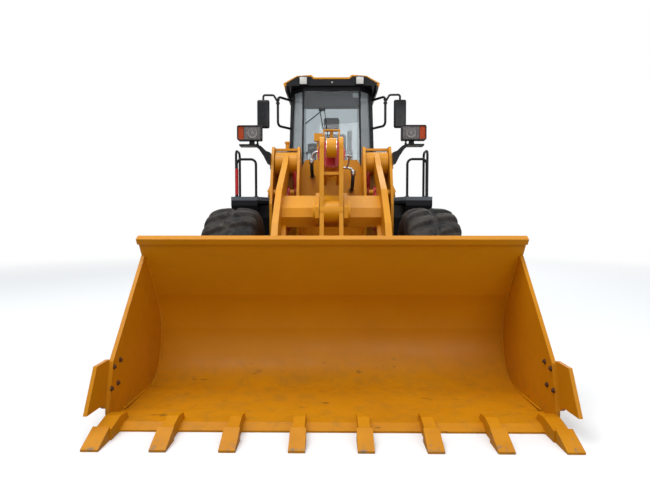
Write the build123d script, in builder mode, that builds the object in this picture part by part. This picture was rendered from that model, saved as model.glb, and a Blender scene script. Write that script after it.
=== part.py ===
"""An articulated wheel loader of the 5 tonne class with a 3 cubic metre bucket.

+Z is up, the machine faces -Y and X runs across it. The origin lies on the ground under
the middle of the machine. Side outlines are given as (back, up): back is the distance
behind the front axle, up is the height over the ground. All sizes are millimetres.
"""
import os

from build123d import *

os.makedirs("parts", exist_ok=True)

# Overall plan of the machine
TOOTH_REACH = 2590
WHEELBASE = 3200
REAR_OVERHANG = 2160
FRONT_AXLE_Y = TOOTH_REACH - (TOOTH_REACH + WHEELBASE + REAR_OVERHANG) / 2
HALF_GAUGE = 1040
PIVOT_BACK = WHEELBASE / 2

# Fits and clearances
PIN_FIT = 0.08
ROD_FIT = 0.1
SEAT = 0.3
SIDE_PLAY = 6

# Wheels
TYRE_RADIUS = 750
TYRE_WIDTH = 540
LUG_HEIGHT = 38
LUG_COUNT = 22
LUG_WIDTH = 112
LUG_SKEW = 14
RIM_RADIUS = 318
RIM_WALL = 24
RIM_WIDTH = 436
DISC_THICKNESS = 26
DISC_OFFSET = 60
SPINDLE_RADIUS = 90
HUB_RADIUS = 235
HUB_REACH = 70

# Pins of the boom, the bucket linkage and the cylinders, as (back, up)
BOOM_PIVOT = (930, 2080)
BUCKET_HINGE = (-1040, 320)
CRANK_PIVOT = (-280, 1458)
CRANK_TOP = (-255, 2110)
CRANK_FOOT = (-480, 470)
LINK_EYE = (-1060, 520)
TILT_BASE = (885, 2012)
LIFT_BASE = (700, 1700)
LIFT_EYE = (-190, 950)

# Boom
ARM_X = 560
ARM_THICKNESS = 65
BOOM_PIN = 60
BOOM_BOSS = 140
NOSE_PIN = 50
NOSE_BOSS = 95
NOSE_WIDTH = 96

# Bellcrank and link
CRANK_GAP = 154
CRANK_PLATE = 43
CRANK_PIN = 55
CRANK_HUB = 118
FOOT_PIN = 42
LINK_PIN = 45
LINK_HEAD = 78
FOOT_HEAD = 98
TOP_HEAD = 112
TOP_PIN = 45
LINK_FRONT_WIDTH = 100
CRANK_EAR = 40
LINK_BRACKET = 34
HINGE_EAR = 40
TILT_BRACKET = 28

# Cylinders
TILT_BORE_RADIUS = 122
TILT_ROD = 48
TILT_BARREL = 880
TILT_ROD_LENGTH = 740
TILT_EYE_WIDTH = 105
LIFT_BORE_RADIUS = 78
LIFT_ROD = 40
LIFT_BARREL = 800
LIFT_ROD_LENGTH = 1020
LIFT_PIN = 40
LIFT_HEAD = 70
LIFT_FORK = 100
EAR_PLATE = 24
STEER_BORE_RADIUS = 48
STEER_ROD = 25
STEER_BARREL = 655
STEER_ROD_LENGTH = 715
STEER_PIN = 22
STEER_UP = 960
STEER_REAR = (330, 750)
STEER_FRONT = (430, -300)

# Front frame
TOWER_X = 564
TOWER_WIDTH = 352
TOWER_PLATE = 32
TOWER_TOP = 2280
HINGE_PIN = 45
HINGE_RADIUS = 140
HINGE_PLATE = 60
HINGE_GAP = 6
UPPER_HINGE = 1180
LOWER_HINGE = 560

# Bucket
BUCKET_HALF = 1500
BUCKET_SIDE = 28
EDGE_DEPTH = 280
EDGE_THICKNESS = 40
TOOTH_LENGTH = 290
CUTTER_THICKNESS = 25
TOOTH_COUNT = 8
CORNER_TOOTH = 120

# Cab
CAB_FRONT = 1880
CAB_REAR = 3200
CAB_FLOOR = 1620
CAB_TOP = 3300
CAB_WALL = 45
CAB_HALF = 655
CAB_HALF_TOP = 605
CAB_PANE_HALF = 430
ROOF_HALF = 694
ROOF_TOP = 3450

# Decks, hood and counterweight
DECK_UNDER = 1600
DECK_TOP = 1690
DECK_FRONT = 1470
DECK_OUTER = 1380
FOLD_HALF = 1020
HOOD_FRONT = 3330
HOOD_REAR = 5100
HOOD_HALF = 600
HOOD_UNDER = 1160
HOOD_TOP = 2350
HOOD_WALL = 30
RAIL_X = 390
RAIL_THICKNESS = 40
RAIL_UNDER = 800
RAIL_ARCH = 980
RAIL_TOP = 1150
ENGINE_UNDER = 1110
FENDER_TOP = 1700
FENDER_SHEET = 30


def at(back, up):
    """A (back, up) point as (Y, Z)."""
    return (FRONT_AXLE_Y + back, up)


def save(piece, name):
    """Labels a finished piece and writes its file."""
    piece.part.label = name
    export_step(piece.part, f"parts/{name}.step")


def slab(x_from, x_to, outline, rounding=0, mode=Mode.ADD):
    """A plate between two X places, cut to an outline of (back, up) points."""
    with BuildSketch(Plane.YZ.offset(x_from)) as shape:
        with BuildLine():
            Polyline(*[at(*point) for point in outline], close=True)
        make_face()
        if rounding:
            fillet(shape.vertices(), rounding)
    extrude(shape.sketch, amount=x_to - x_from, mode=mode)


def barrel(centre, radius, x_from, x_to, mode=Mode.ADD):
    """A round boss, pin or bore along X about a (back, up) centre."""
    with BuildSketch(Plane.YZ.offset(x_from)) as disc:
        with Locations(at(*centre)):
            Circle(radius)
    extrude(disc.sketch, amount=x_to - x_from, mode=mode)


def post(x, back, radius, z_from, z_to, mode=Mode.ADD):
    """An upright round pin, boss or bore."""
    with BuildSketch(Plane.XY.offset(z_from)) as disc:
        with Locations((x, FRONT_AXLE_Y + back)):
            Circle(radius)
    extrude(disc.sketch, amount=z_to - z_from, mode=mode)


def level_plate(z_from, z_to, outline, rounding=0, mode=Mode.ADD):
    """A level plate cut to an outline of (x, back) points."""
    with BuildSketch(Plane.XY.offset(z_from)) as shape:
        with BuildLine():
            Polyline(*[(x, FRONT_AXLE_Y + back) for x, back in outline], close=True)
        make_face()
        if rounding:
            fillet(shape.vertices(), rounding)
    extrude(shape.sketch, amount=z_to - z_from, mode=mode)


def block(x_range, back_range, up_range, mode=Mode.ADD):
    """A plain block between three pairs of limits."""
    (x0, x1), (b0, b1), (z0, z1) = x_range, back_range, up_range
    level_plate(z0, z1, [(x0, b0), (x1, b0), (x1, b1), (x0, b1)], mode=mode)


def span(x, side, half):
    """The two X limits of a plate of a given half thickness on one side."""
    return side * x - half, side * x + half


def aimed(x, start, end):
    """A plane at start whose Z axis points at end, with X across the machine."""
    y0, z0 = at(*start)
    y1, z1 = at(*end)
    return Plane(origin=(x, y0, z0), x_dir=(1, 0, 0), z_dir=(0, y1 - y0, z1 - z0))


def along(plane, radius, z_from, z_to, mode=Mode.ADD):
    """A round stretch along an aimed plane's own axis."""
    with BuildSketch(plane.offset(z_from)) as disc:
        Circle(radius)
    extrude(disc.sketch, amount=z_to - z_from, mode=mode)


def pin_gap(start, end):
    """The distance between two (back, up) points."""
    return ((end[0] - start[0]) ** 2 + (end[1] - start[1]) ** 2) ** 0.5


def ring_of(points):
    """A closed outline as a face in the current sketch."""
    Polygon(*points, align=None)


# Tyre and rim, about the X axis at the origin
LUG_TIP = TYRE_RADIUS + 12
TREAD_RADIUS = TYRE_RADIUS - LUG_HEIGHT
HALF_TYRE = TYRE_WIDTH / 2
HALF_RIM = RIM_WIDTH / 2
RIM_OUTER = RIM_RADIUS
SECTION = Plane(origin=(0, 0, 0), x_dir=(0, 0, 1), z_dir=(0, 1, 0))

with BuildPart() as tyre:
    with BuildSketch(SECTION) as carcass:
        ring_of(
            [
                (RIM_OUTER, -HALF_RIM + 30),
                (RIM_OUTER + 40, -HALF_RIM + 24),
                (RIM_OUTER + 95, -HALF_RIM - 14),
                (RIM_OUTER + 250, -HALF_TYRE + 4),
                (TREAD_RADIUS - 90, -HALF_TYRE + 8),
                (TREAD_RADIUS - 30, -HALF_TYRE + 50),
                (TREAD_RADIUS, -HALF_TYRE + 150),
                (TREAD_RADIUS, HALF_TYRE - 150),
                (TREAD_RADIUS - 30, HALF_TYRE - 50),
                (TREAD_RADIUS - 90, HALF_TYRE - 8),
                (RIM_OUTER + 250, HALF_TYRE - 4),
                (RIM_OUTER + 95, HALF_RIM + 14),
                (RIM_OUTER + 40, HALF_RIM - 24),
                (RIM_OUTER, HALF_RIM - 30),
            ]
        )
    revolve(axis=Axis.X)

lug_sides = []
for side in (-1, 1):
    with BuildPart() as lug:
        with BuildSketch(SECTION):
            ring_of(
                [
                    (TREAD_RADIUS - 30, side * 20),
                    (LUG_TIP, side * 20),
                    (LUG_TIP, side * (HALF_TYRE - 95)),
                    (LUG_TIP - 34, side * (HALF_TYRE - 8)),
                    (LUG_TIP - 110, side * HALF_TYRE),
                    (LUG_TIP - 130, side * (HALF_TYRE - 40)),
                ]
            )
        extrude(amount=LUG_WIDTH / 2, both=True)
    with BuildPart() as skewed:
        add(lug.part, rotation=(0, 0, side * LUG_SKEW))
        with BuildSketch(Plane.YZ.offset(-TYRE_WIDTH)):
            ring_of([(-120, 0), (120, 0), (120, TYRE_RADIUS - 10), (0, TYRE_RADIUS), (-120, TYRE_RADIUS - 10)])
        extrude(amount=2 * TYRE_WIDTH, mode=Mode.INTERSECT)
    lug_sides.append(skewed.part)

with BuildPart() as treaded:
    add(tyre.part)
    lugs = []
    for index in range(LUG_COUNT):
        for number, shape in enumerate(lug_sides):
            turn = 360 / LUG_COUNT * (index + number / 2)
            lugs.append(shape.rotate(Axis.X, turn))
    add(lugs)

with BuildPart() as rim:
    with BuildSketch(SECTION) as wheel_section:
        ring_of(
            [
                (SPINDLE_RADIUS + PIN_FIT, DISC_OFFSET - DISC_THICKNESS),
                (RIM_OUTER - RIM_WALL, DISC_OFFSET - DISC_THICKNESS),
                (RIM_OUTER - RIM_WALL, -HALF_RIM + 20),
                (RIM_OUTER + 40, -HALF_RIM),
                (RIM_OUTER + 40, -HALF_RIM + 24),
                (RIM_OUTER, -HALF_RIM + 30),
                (RIM_OUTER, HALF_RIM - 30),
                (RIM_OUTER + 40, HALF_RIM - 24),
                (RIM_OUTER + 40, HALF_RIM),
                (RIM_OUTER - RIM_WALL, HALF_RIM - 20),
                (RIM_OUTER - RIM_WALL, DISC_OFFSET),
                (HUB_RADIUS, DISC_OFFSET),
                (HUB_RADIUS - 15, DISC_OFFSET + HUB_REACH),
                (HUB_RADIUS - 80, DISC_OFFSET + HUB_REACH + 35),
                (SPINDLE_RADIUS + PIN_FIT, DISC_OFFSET + HUB_REACH + 35),
            ]
        )
    revolve(axis=Axis.X)

WHEELS = (
    ("front_left", 1, 0),
    ("front_right", -1, 0),
    ("rear_left", 1, WHEELBASE),
    ("rear_right", -1, WHEELBASE),
)
for name, side, back in WHEELS:
    turn = 0 if side > 0 else 180
    for kind, shape in (("tyre", treaded), ("rim", rim)):
        with BuildPart() as wheel_piece:
            with Locations((side * HALF_GAUGE, FRONT_AXLE_Y + back, TYRE_RADIUS)):
                add(shape.part, rotation=(0, 0, turn))
        save(wheel_piece, f"{kind}_{name}")

# Axles, each with a banjo housing, beam, spindles and a pinion shaft
AXLE_TUBE = 140
BANJO_RADIUS = 205
BANJO_HALF = 170
PINION_RADIUS = 110
STUB_RADIUS = 80
AXLE_TOP = TYRE_RADIUS + AXLE_TUBE
BEARING_REACH = 250
SPINDLE_END = HALF_GAUGE + DISC_OFFSET + HUB_REACH + 25
FLANGE_X = HALF_GAUGE + DISC_OFFSET - DISC_THICKNESS - 40


def axle(name, back, shaft_to, stub):
    """A drive axle with its pinion shaft reaching towards the middle of the machine."""
    centre = (back, TYRE_RADIUS)
    way = 1 if shaft_to > back else -1
    with BuildPart() as housing:
        barrel(centre, AXLE_TUBE, -FLANGE_X + 120, FLANGE_X - 120)
        barrel(centre, BANJO_RADIUS, -BANJO_HALF, BANJO_HALF)
        for side in (-1, 1):
            barrel(centre, 175, side * (FLANGE_X - 130), side * FLANGE_X)
            barrel(centre, SPINDLE_RADIUS, side * (FLANGE_X - 40), side * SPINDLE_END)
        shaft = aimed(0, centre, (shaft_to, TYRE_RADIUS))
        along(shaft, PINION_RADIUS, BANJO_RADIUS - 60, BANJO_RADIUS + 90)
        along(shaft, STUB_RADIUS, -BANJO_RADIUS - stub, -BANJO_RADIUS + 60)
        along(shaft, 45, BANJO_RADIUS, abs(shaft_to - back))
        along(shaft, 75, abs(shaft_to - back) - 60, abs(shaft_to - back))
    save(housing, name)


axle("front_axle", 0, PIVOT_BACK - 60, 20)
axle("rear_axle", WHEELBASE, PIVOT_BACK + 60, 75)

# Front frame: towers, base, hinge lugs, pins
TOWER_OUTLINE = (
    (560, 960),
    (540, 1560),
    (640, 1860),
    (760, 2160),
    (850, TOWER_TOP),
    (1040, TOWER_TOP),
    (1150, 2160),
    (1180, 1900),
    (1180, 960),
)
TOWER_FACES = (TOWER_X - TOWER_WIDTH / 2, TOWER_X + TOWER_WIDTH / 2 - TOWER_PLATE)
FRAME_HALF = TOWER_FACES[0]
CROSS_BACK = 1120
CROSS_TOP = 2150
CRUTCH_TOP = 2535
with BuildPart() as front_frame:
    for side in (-1, 1):
        for face in TOWER_FACES:
            slab(side * face, side * (face + TOWER_PLATE), TOWER_OUTLINE)
        inner = side * TOWER_FACES[0]
        outer = side * (TOWER_FACES[1] + TOWER_PLATE)
        slab(inner, outer, ((560, 960), (560, 1000), (1180, 1000), (1180, 960)))
        slab(inner, outer, ((1148, 980), (1148, 2150), (1180, 2150), (1180, 980)))
        slab(inner, outer, ((1000, 2252), (1000, TOWER_TOP), (1045, TOWER_TOP), (1075, 2252)))
        for centre, radius, pin in ((BOOM_PIVOT, 110, BOOM_PIN), (LIFT_BASE, 85, LIFT_PIN)):
            barrel(centre, radius, outer, outer + side * 14)
            barrel(centre, pin, inner, outer)
    with BuildSketch(Plane.XZ.offset(-(FRONT_AXLE_Y + CROSS_BACK))) as cross_plate:
        ring_of(
            [
                (-FRAME_HALF, 700),
                (-FRAME_HALF, CROSS_TOP - 100),
                (50 - FRAME_HALF, CROSS_TOP),
                (FRAME_HALF - 50, CROSS_TOP),
                (FRAME_HALF, CROSS_TOP - 100),
                (FRAME_HALF, 700),
            ]
        )
    extrude(cross_plate.sketch, amount=-60)
    # Bracket over the cross plate: two leaning legs, a flared web and a top plate
    with BuildSketch(Plane.XZ.offset(-(FRONT_AXLE_Y + CROSS_BACK - 50))) as legs:
        for side in (-1, 1):
            corners = ((112, CRUTCH_TOP), (92, CRUTCH_TOP), (60, CROSS_TOP - 20), (82, CROSS_TOP - 20))
            ring_of([(side * x, z) for x, z in corners])
        ring_of([(-112, CRUTCH_TOP - 16), (-112, CRUTCH_TOP), (112, CRUTCH_TOP), (112, CRUTCH_TOP - 16)])
    extrude(legs.sketch, amount=-90)
    with BuildSketch(Plane.XZ.offset(-(FRONT_AXLE_Y + CROSS_BACK))) as web:
        ring_of([(-18, CRUTCH_TOP - 10), (18, CRUTCH_TOP - 10), (34, CROSS_TOP - 10), (-34, CROSS_TOP - 10)])
    extrude(web.sketch, amount=-20)
    block((-226, -116), (CROSS_BACK - 20, CROSS_BACK + 50), (2392, 2490))
    block((-190, -168), (CROSS_BACK + 10, CROSS_BACK + 32), (CROSS_TOP - 10, 2395))
    post(-TOWER_X, 1037, 25, TOWER_TOP - 10, TOWER_TOP + 66)
    post(-TOWER_X, 1037, 34, TOWER_TOP + 66, TOWER_TOP + 90)
    slab(-FRAME_HALF, FRAME_HALF, ((560, 960), (560, 1010), (1180, 1010), (1180, 960)))
    for side in (-1, 1):
        slab(
            side * 300,
            side * 330,
            (
                (-150, AXLE_TOP),
                (-150, 1040),
                (-20, 1110),
                (560, 1110),
                (1180, 1110),
                (1300, 1040),
                (1300, 700),
                (1180, 640),
                (700, 640),
                (330, AXLE_TOP + SEAT),
            ),
        )
    block((-330, 330), (-150, 300), (AXLE_TOP + SEAT, AXLE_TOP + 25))
    block((-330, 330), (1180, 1300), (700, 740))
    for level in (UPPER_HINGE, LOWER_HINGE):
        z0 = level - HINGE_PLATE / 2
        z1 = level + HINGE_PLATE / 2
        level_plate(
            z0,
            z1,
            ((-250, 1100), (250, 1100), (250, 1330), (110, 1500), (-110, 1500), (-250, 1330)),
        )
        post(0, PIVOT_BACK, HINGE_RADIUS, z0, z1)
        block((-110, 110), (1490, PIVOT_BACK), (z0, z1))
    block((-250, 250), (1150, 1290), (LOWER_HINGE - 30, UPPER_HINGE + 30))
    block((-200, 200), (1100, 1310), (TYRE_RADIUS - 120, TYRE_RADIUS + 120), mode=Mode.SUBTRACT)
    for level in (UPPER_HINGE, LOWER_HINGE):
        post(0, PIVOT_BACK, HINGE_PIN + PIN_FIT, level - 40, level + 40, mode=Mode.SUBTRACT)
    barrel((0, TYRE_RADIUS), BANJO_RADIUS + 8, -BANJO_HALF - 8, BANJO_HALF + 8, mode=Mode.SUBTRACT)
    for side in (-1, 1):
        x, back = STEER_FRONT
        for lift in (-1, 1):
            z = STEER_UP + lift * (32 + SIDE_PLAY)
            level_plate(
                min(z, z + lift * 22),
                max(z, z + lift * 22),
                (
                    (side * 320, PIVOT_BACK + back - 70),
                    (side * (x + 10), PIVOT_BACK + back - 50),
                    (side * (x + 50), PIVOT_BACK + back),
                    (side * (x + 10), PIVOT_BACK + back + 50),
                    (side * 320, PIVOT_BACK + back + 70),
                ),
            )
        z = STEER_UP
        for lift in (-1, 1):
            post(side * x, PIVOT_BACK + back, STEER_PIN, z + lift * 60, z + lift * (32 + SIDE_PLAY))
        # Tilt cylinder bracket plates
        slab(
            side * (60 + SIDE_PLAY),
            side * (60 + SIDE_PLAY + TILT_BRACKET),
            ((1180, 1820), (1180, 2110), (1100, 2125), (960, 2110), (885, 2102), (810, 2060), (800, 1980), (850, 1925), (1120, 1820)),
        )
        barrel(TILT_BASE, 42 + PIN_FIT, side * 50, side * 110, mode=Mode.SUBTRACT)
save(front_frame, "front_frame")

# Headlamps and their brackets on the towers
LAMP_X = 984
LAMP_BACK = 600
LAMP_UP = 2412
with BuildPart() as headlamps:
    for side in (-1, 1):
        with BuildSketch(Plane.XZ.offset(-(FRONT_AXLE_Y + LAMP_BACK))) as face:
            with Locations((side * LAMP_X, LAMP_UP)):
                RectangleRounded(290, 175, 24)
        extrude(face.sketch, amount=-130)
save(headlamps, "headlamps")

LAMP_PLATE = 2285
with BuildPart() as lamp_brackets:
    reach = TOWER_FACES[1] + TOWER_PLATE + SEAT
    arm = (
        (reach, 2040),
        (reach, 2185),
        (reach + 50, 2205),
        (reach + 110, LAMP_PLATE - 22),
        (reach + 160, LAMP_PLATE),
        (LAMP_X + 130, LAMP_PLATE),
        (LAMP_X + 130, LAMP_PLATE - 20),
        (reach + 185, LAMP_PLATE - 20),
        (reach + 140, LAMP_PLATE - 55),
        (reach + 80, 2140),
        (reach + 35, 2050),
    )
    for side in (-1, 1):
        with BuildSketch(Plane.XZ.offset(-(FRONT_AXLE_Y + LAMP_BACK + 45))) as arm_section:
            ring_of([(side * x, z) for x, z in arm])
        extrude(arm_section.sketch, amount=-160)
        for x, half, back in ((LAMP_X - 20, 30, 60), (LAMP_X - 85, 8, 80)):
            block(
                sorted((side * (x - half), side * (x + half))),
                (LAMP_BACK + back, LAMP_BACK + back + 40),
                (LAMP_PLATE, LAMP_UP - 87.5),
            )
save(lamp_brackets, "lamp_brackets")

# Boom: two arms, the cross beam and the bellcrank ears
ARM_OUTLINE = (
    (860, 2200),
    (540, 2007),
    (210, 1845),
    (-80, 1700),
    (-300, 1512),
    (-490, 1338),
    (-560, 1226),
    (-960, 560),
    (-1110, 370),
    (-1040, 240),
    (-940, 290),
    (-620, 620),
    (-300, 960),
    (0, 1300),
    (300, 1560),
    (620, 1790),
    (880, 1950),
)
with BuildPart() as boom:
    for side in (-1, 1):
        low, high = span(ARM_X, side, ARM_THICKNESS / 2)
        slab(low, high, ARM_OUTLINE)
        half_boss = (TOWER_WIDTH - 2 * TOWER_PLATE) / 2 - SIDE_PLAY
        barrel(BOOM_PIVOT, BOOM_BOSS, *span(TOWER_X, side, half_boss))
        barrel(BUCKET_HINGE, NOSE_BOSS, *span(ARM_X, side, NOSE_WIDTH / 2))
        for face in (-1, 1):
            inner = side * ARM_X + face * ARM_THICKNESS / 2
            start = side * ARM_X + face * LIFT_FORK / 2
            slab(inner, start, ((-330, 1040), (-60, 1330), (40, 1270), (-250, 1000)))
            slab(
                start,
                start + face * EAR_PLATE,
                ((-330, 1040), (-60, 1330), (40, 1250), (-95, 950), (-150, 870), (-235, 862), (-290, 950)),
            )
        barrel(BOOM_PIVOT, BOOM_PIN + PIN_FIT, *span(TOWER_X, side, 200), mode=Mode.SUBTRACT)
        barrel(BUCKET_HINGE, NOSE_PIN + PIN_FIT, *span(ARM_X, side, 80), mode=Mode.SUBTRACT)
    slab(
        -ARM_X,
        ARM_X,
        ((140, 1640), (-110, 1500), (-130, 1400), (-60, 1295), (60, 1295), (170, 1385), (220, 1480)),
    )
    for side in (-1, 1):
        start = side * (CRANK_GAP / 2 + CRANK_PLATE + SIDE_PLAY)
        slab(
            start,
            start + side * CRANK_EAR,
            ((-60, 1660), (-230, 1600), (-385, 1500), (-385, 1390), (-290, 1330), (-100, 1300), (0, 1300), (0, 1600)),
        )
        barrel(CRANK_PIVOT, CRANK_PIN + PIN_FIT, side * 100, side * 180, mode=Mode.SUBTRACT)
save(boom, "boom")

# Bellcrank
with BuildPart() as bellcrank:
    for side in (-1, 1):
        start = side * CRANK_GAP / 2
        slab(
            start,
            start + side * CRANK_PLATE,
            (
                (-160, 1480),
                (CRANK_TOP[0] + TOP_HEAD, CRANK_TOP[1] - 20),
                (CRANK_TOP[0] - TOP_HEAD, CRANK_TOP[1] - 20),
                (-390, 1480),
                (-565, 520),
                (-540, 410),
                (-450, 380),
                (-390, 440),
                (-200, 1200),
            ),
        )
        barrel(CRANK_TOP, TOP_HEAD, start, start + side * CRANK_PLATE)
        barrel(CRANK_FOOT, FOOT_HEAD, start, start + side * CRANK_PLATE)
        barrel(CRANK_TOP, TOP_PIN, start + side * CRANK_PLATE, start - side * 2)
        barrel(CRANK_FOOT, FOOT_PIN, start + side * CRANK_PLATE, start - side * 2)
    barrel(CRANK_PIVOT, CRANK_HUB, -CRANK_GAP / 2 - CRANK_PLATE, CRANK_GAP / 2 + CRANK_PLATE)
    slab(-CRANK_GAP / 2, CRANK_GAP / 2, ((-330, 1830), (-190, 1830), (-190, 1860), (-330, 1860)))
    barrel(CRANK_PIVOT, CRANK_PIN + PIN_FIT, -200, 200, mode=Mode.SUBTRACT)
save(bellcrank, "bellcrank")

# Link between the bellcrank's foot and the bucket
with BuildPart() as bucket_link:
    foot_half = CRANK_GAP / 2 - SIDE_PLAY
    barrel(CRANK_FOOT, FOOT_HEAD - 8, -foot_half, foot_half)
    barrel(LINK_EYE, LINK_HEAD, -LINK_FRONT_WIDTH / 2, LINK_FRONT_WIDTH / 2)
    slab(
        -LINK_FRONT_WIDTH / 2 + 10,
        LINK_FRONT_WIDTH / 2 - 10,
        ((-480, 530), (-1060, 575), (-1060, 465), (-480, 410)),
    )
    barrel(CRANK_FOOT, FOOT_PIN + 8, -200, 200, mode=Mode.SUBTRACT)
    barrel(LINK_EYE, LINK_PIN + PIN_FIT, -200, 200, mode=Mode.SUBTRACT)
save(bucket_link, "bucket_link")

# Pins with their retaining plates
PINS = (
    ("crank_pin", CRANK_PIVOT, CRANK_PIN, CRANK_GAP / 2 + CRANK_PLATE + SIDE_PLAY + CRANK_EAR + 1, 105, 22),
    ("link_pin", LINK_EYE, LINK_PIN, LINK_FRONT_WIDTH / 2 + SIDE_PLAY + LINK_BRACKET + 1, 78, 16),
    ("tilt_base_pin", TILT_BASE, 42, 60 + SIDE_PLAY + TILT_BRACKET + 1, 62, 10),
)
for name, centre, radius, half, plate_radius, plate in PINS:
    with BuildPart() as pin:
        barrel(centre, radius, -half, half)
        for end in (-1, 1):
            barrel(centre, plate_radius, end * half, end * (half + plate))
    save(pin, name)

with BuildPart() as bucket_pins:
    half = NOSE_WIDTH / 2 + SIDE_PLAY + HINGE_EAR + 1
    for side in (-1, 1):
        barrel(BUCKET_HINGE, NOSE_PIN, *span(ARM_X, side, half))
        for face in (-1, 1):
            start = side * ARM_X + face * half
            barrel(BUCKET_HINGE, 88, start, start + face * 18)
save(bucket_pins, "bucket_pins")

# Tilt cylinder
tilt_length = pin_gap(TILT_BASE, CRANK_TOP)
with BuildPart() as tilt_barrel:
    tilt = aimed(0, TILT_BASE, CRANK_TOP)
    along(tilt, TILT_BORE_RADIUS, 130, TILT_BARREL)
    along(tilt, 150, TILT_BARREL - 60, TILT_BARREL)
    along(tilt, 60, 40, 140)
    barrel(TILT_BASE, 80, -60, 60)
    along(tilt, TILT_ROD + ROD_FIT, 150, TILT_BARREL + 10, mode=Mode.SUBTRACT)
    barrel(TILT_BASE, 42 + PIN_FIT, -100, 100, mode=Mode.SUBTRACT)
save(tilt_barrel, "tilt_barrel")

with BuildPart() as tilt_rod:
    along(tilt, TILT_ROD, tilt_length - TILT_ROD_LENGTH, tilt_length - 60)
    barrel(CRANK_TOP, 98, -TILT_EYE_WIDTH / 2, TILT_EYE_WIDTH / 2)
    barrel(CRANK_TOP, 50, -100, 100, mode=Mode.SUBTRACT)
save(tilt_rod, "tilt_rod")

# Lift cylinders
SIDES = (("left", 1), ("right", -1))
lift_length = pin_gap(LIFT_BASE, LIFT_EYE)
for name, side in SIDES:
    line = aimed(side * ARM_X, LIFT_BASE, LIFT_EYE)
    with BuildPart() as lift_barrel:
        along(line, LIFT_BORE_RADIUS, 90, LIFT_BARREL)
        along(line, 50, 30, 100)
        barrel(LIFT_BASE, 75, *span(ARM_X, side, 55))
        along(line, LIFT_ROD + ROD_FIT, 100, LIFT_BARREL + 10, mode=Mode.SUBTRACT)
        barrel(LIFT_BASE, LIFT_PIN + PIN_FIT, *span(ARM_X, side, 90), mode=Mode.SUBTRACT)
    save(lift_barrel, f"lift_barrel_{name}")
    with BuildPart() as lift_rod:
        along(line, LIFT_ROD, lift_length - LIFT_ROD_LENGTH, lift_length - LIFT_HEAD + 12)
        barrel(LIFT_EYE, LIFT_HEAD, *span(ARM_X, side, LIFT_FORK / 2 - 5))
        barrel(LIFT_EYE, LIFT_PIN + 2, *span(ARM_X, side, 90), mode=Mode.SUBTRACT)
    save(lift_rod, f"lift_rod_{name}")

# Steering cylinders, level between the rear frame and the front frame
for name, side in SIDES:
    rear = (side * STEER_REAR[0], FRONT_AXLE_Y + PIVOT_BACK + STEER_REAR[1], STEER_UP)
    front = (side * STEER_FRONT[0], FRONT_AXLE_Y + PIVOT_BACK + STEER_FRONT[1], STEER_UP)
    steer_length = pin_gap(rear[:2], front[:2])
    line = Plane(origin=rear, x_dir=(0, 0, 1), z_dir=(front[0] - rear[0], front[1] - rear[1], 0))
    with BuildPart() as steer_barrel:
        along(line, STEER_BORE_RADIUS, 60, STEER_BARREL)
        post(rear[0], PIVOT_BACK + STEER_REAR[1], 50, STEER_UP - 32, STEER_UP + 32)
        along(line, 30, 20, 70)
        along(line, STEER_ROD + ROD_FIT, 70, STEER_BARREL + 10, mode=Mode.SUBTRACT)
        post(rear[0], PIVOT_BACK + STEER_REAR[1], STEER_PIN + PIN_FIT, STEER_UP - 50, STEER_UP + 50, mode=Mode.SUBTRACT)
    save(steer_barrel, f"steer_barrel_{name}")
    with BuildPart() as steer_rod:
        along(line, STEER_ROD, steer_length - STEER_ROD_LENGTH, steer_length - 40)
        post(front[0], PIVOT_BACK + STEER_FRONT[1], 50, STEER_UP - 32, STEER_UP + 32)
        post(front[0], PIVOT_BACK + STEER_FRONT[1], STEER_PIN + 2, STEER_UP - 50, STEER_UP + 50, mode=Mode.SUBTRACT)
    save(steer_rod, f"steer_rod_{name}")

# Bucket. Its outlines are given behind the cutting edge, and this moves them to the axle
EDGE_BACK = TOOTH_LENGTH - TOOTH_REACH


def behind_edge(points):
    """Points behind the cutting edge as points behind the front axle."""
    return [(EDGE_BACK + depth, up) for depth, up in points]


# Floor, heel and back of the bucket's sheet, outside and inside
OUTER_SHEET = ((EDGE_DEPTH, 0), (820, 0), (1075, 140), (1150, 440), (1115, 610), (1020, 760), (700, 1250))
INNER_SHEET = ((EDGE_DEPTH, 25), (815, 25), (1056, 156), (1125, 440), (1091, 601), (999, 746), (679, 1236))
KNEE = OUTER_SHEET[5]
LIP = OUTER_SHEET[6]


def sheet_line(points):
    """The line of floor, heel and back, from the edge to the lip."""
    start, floor_end, heel, rearmost, middle, knee, lip = [at(*point) for point in behind_edge(points)]
    Line(start, floor_end)
    ThreePointArc(floor_end, heel, rearmost)
    ThreePointArc(rearmost, middle, knee)
    Line(knee, lip)


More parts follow.
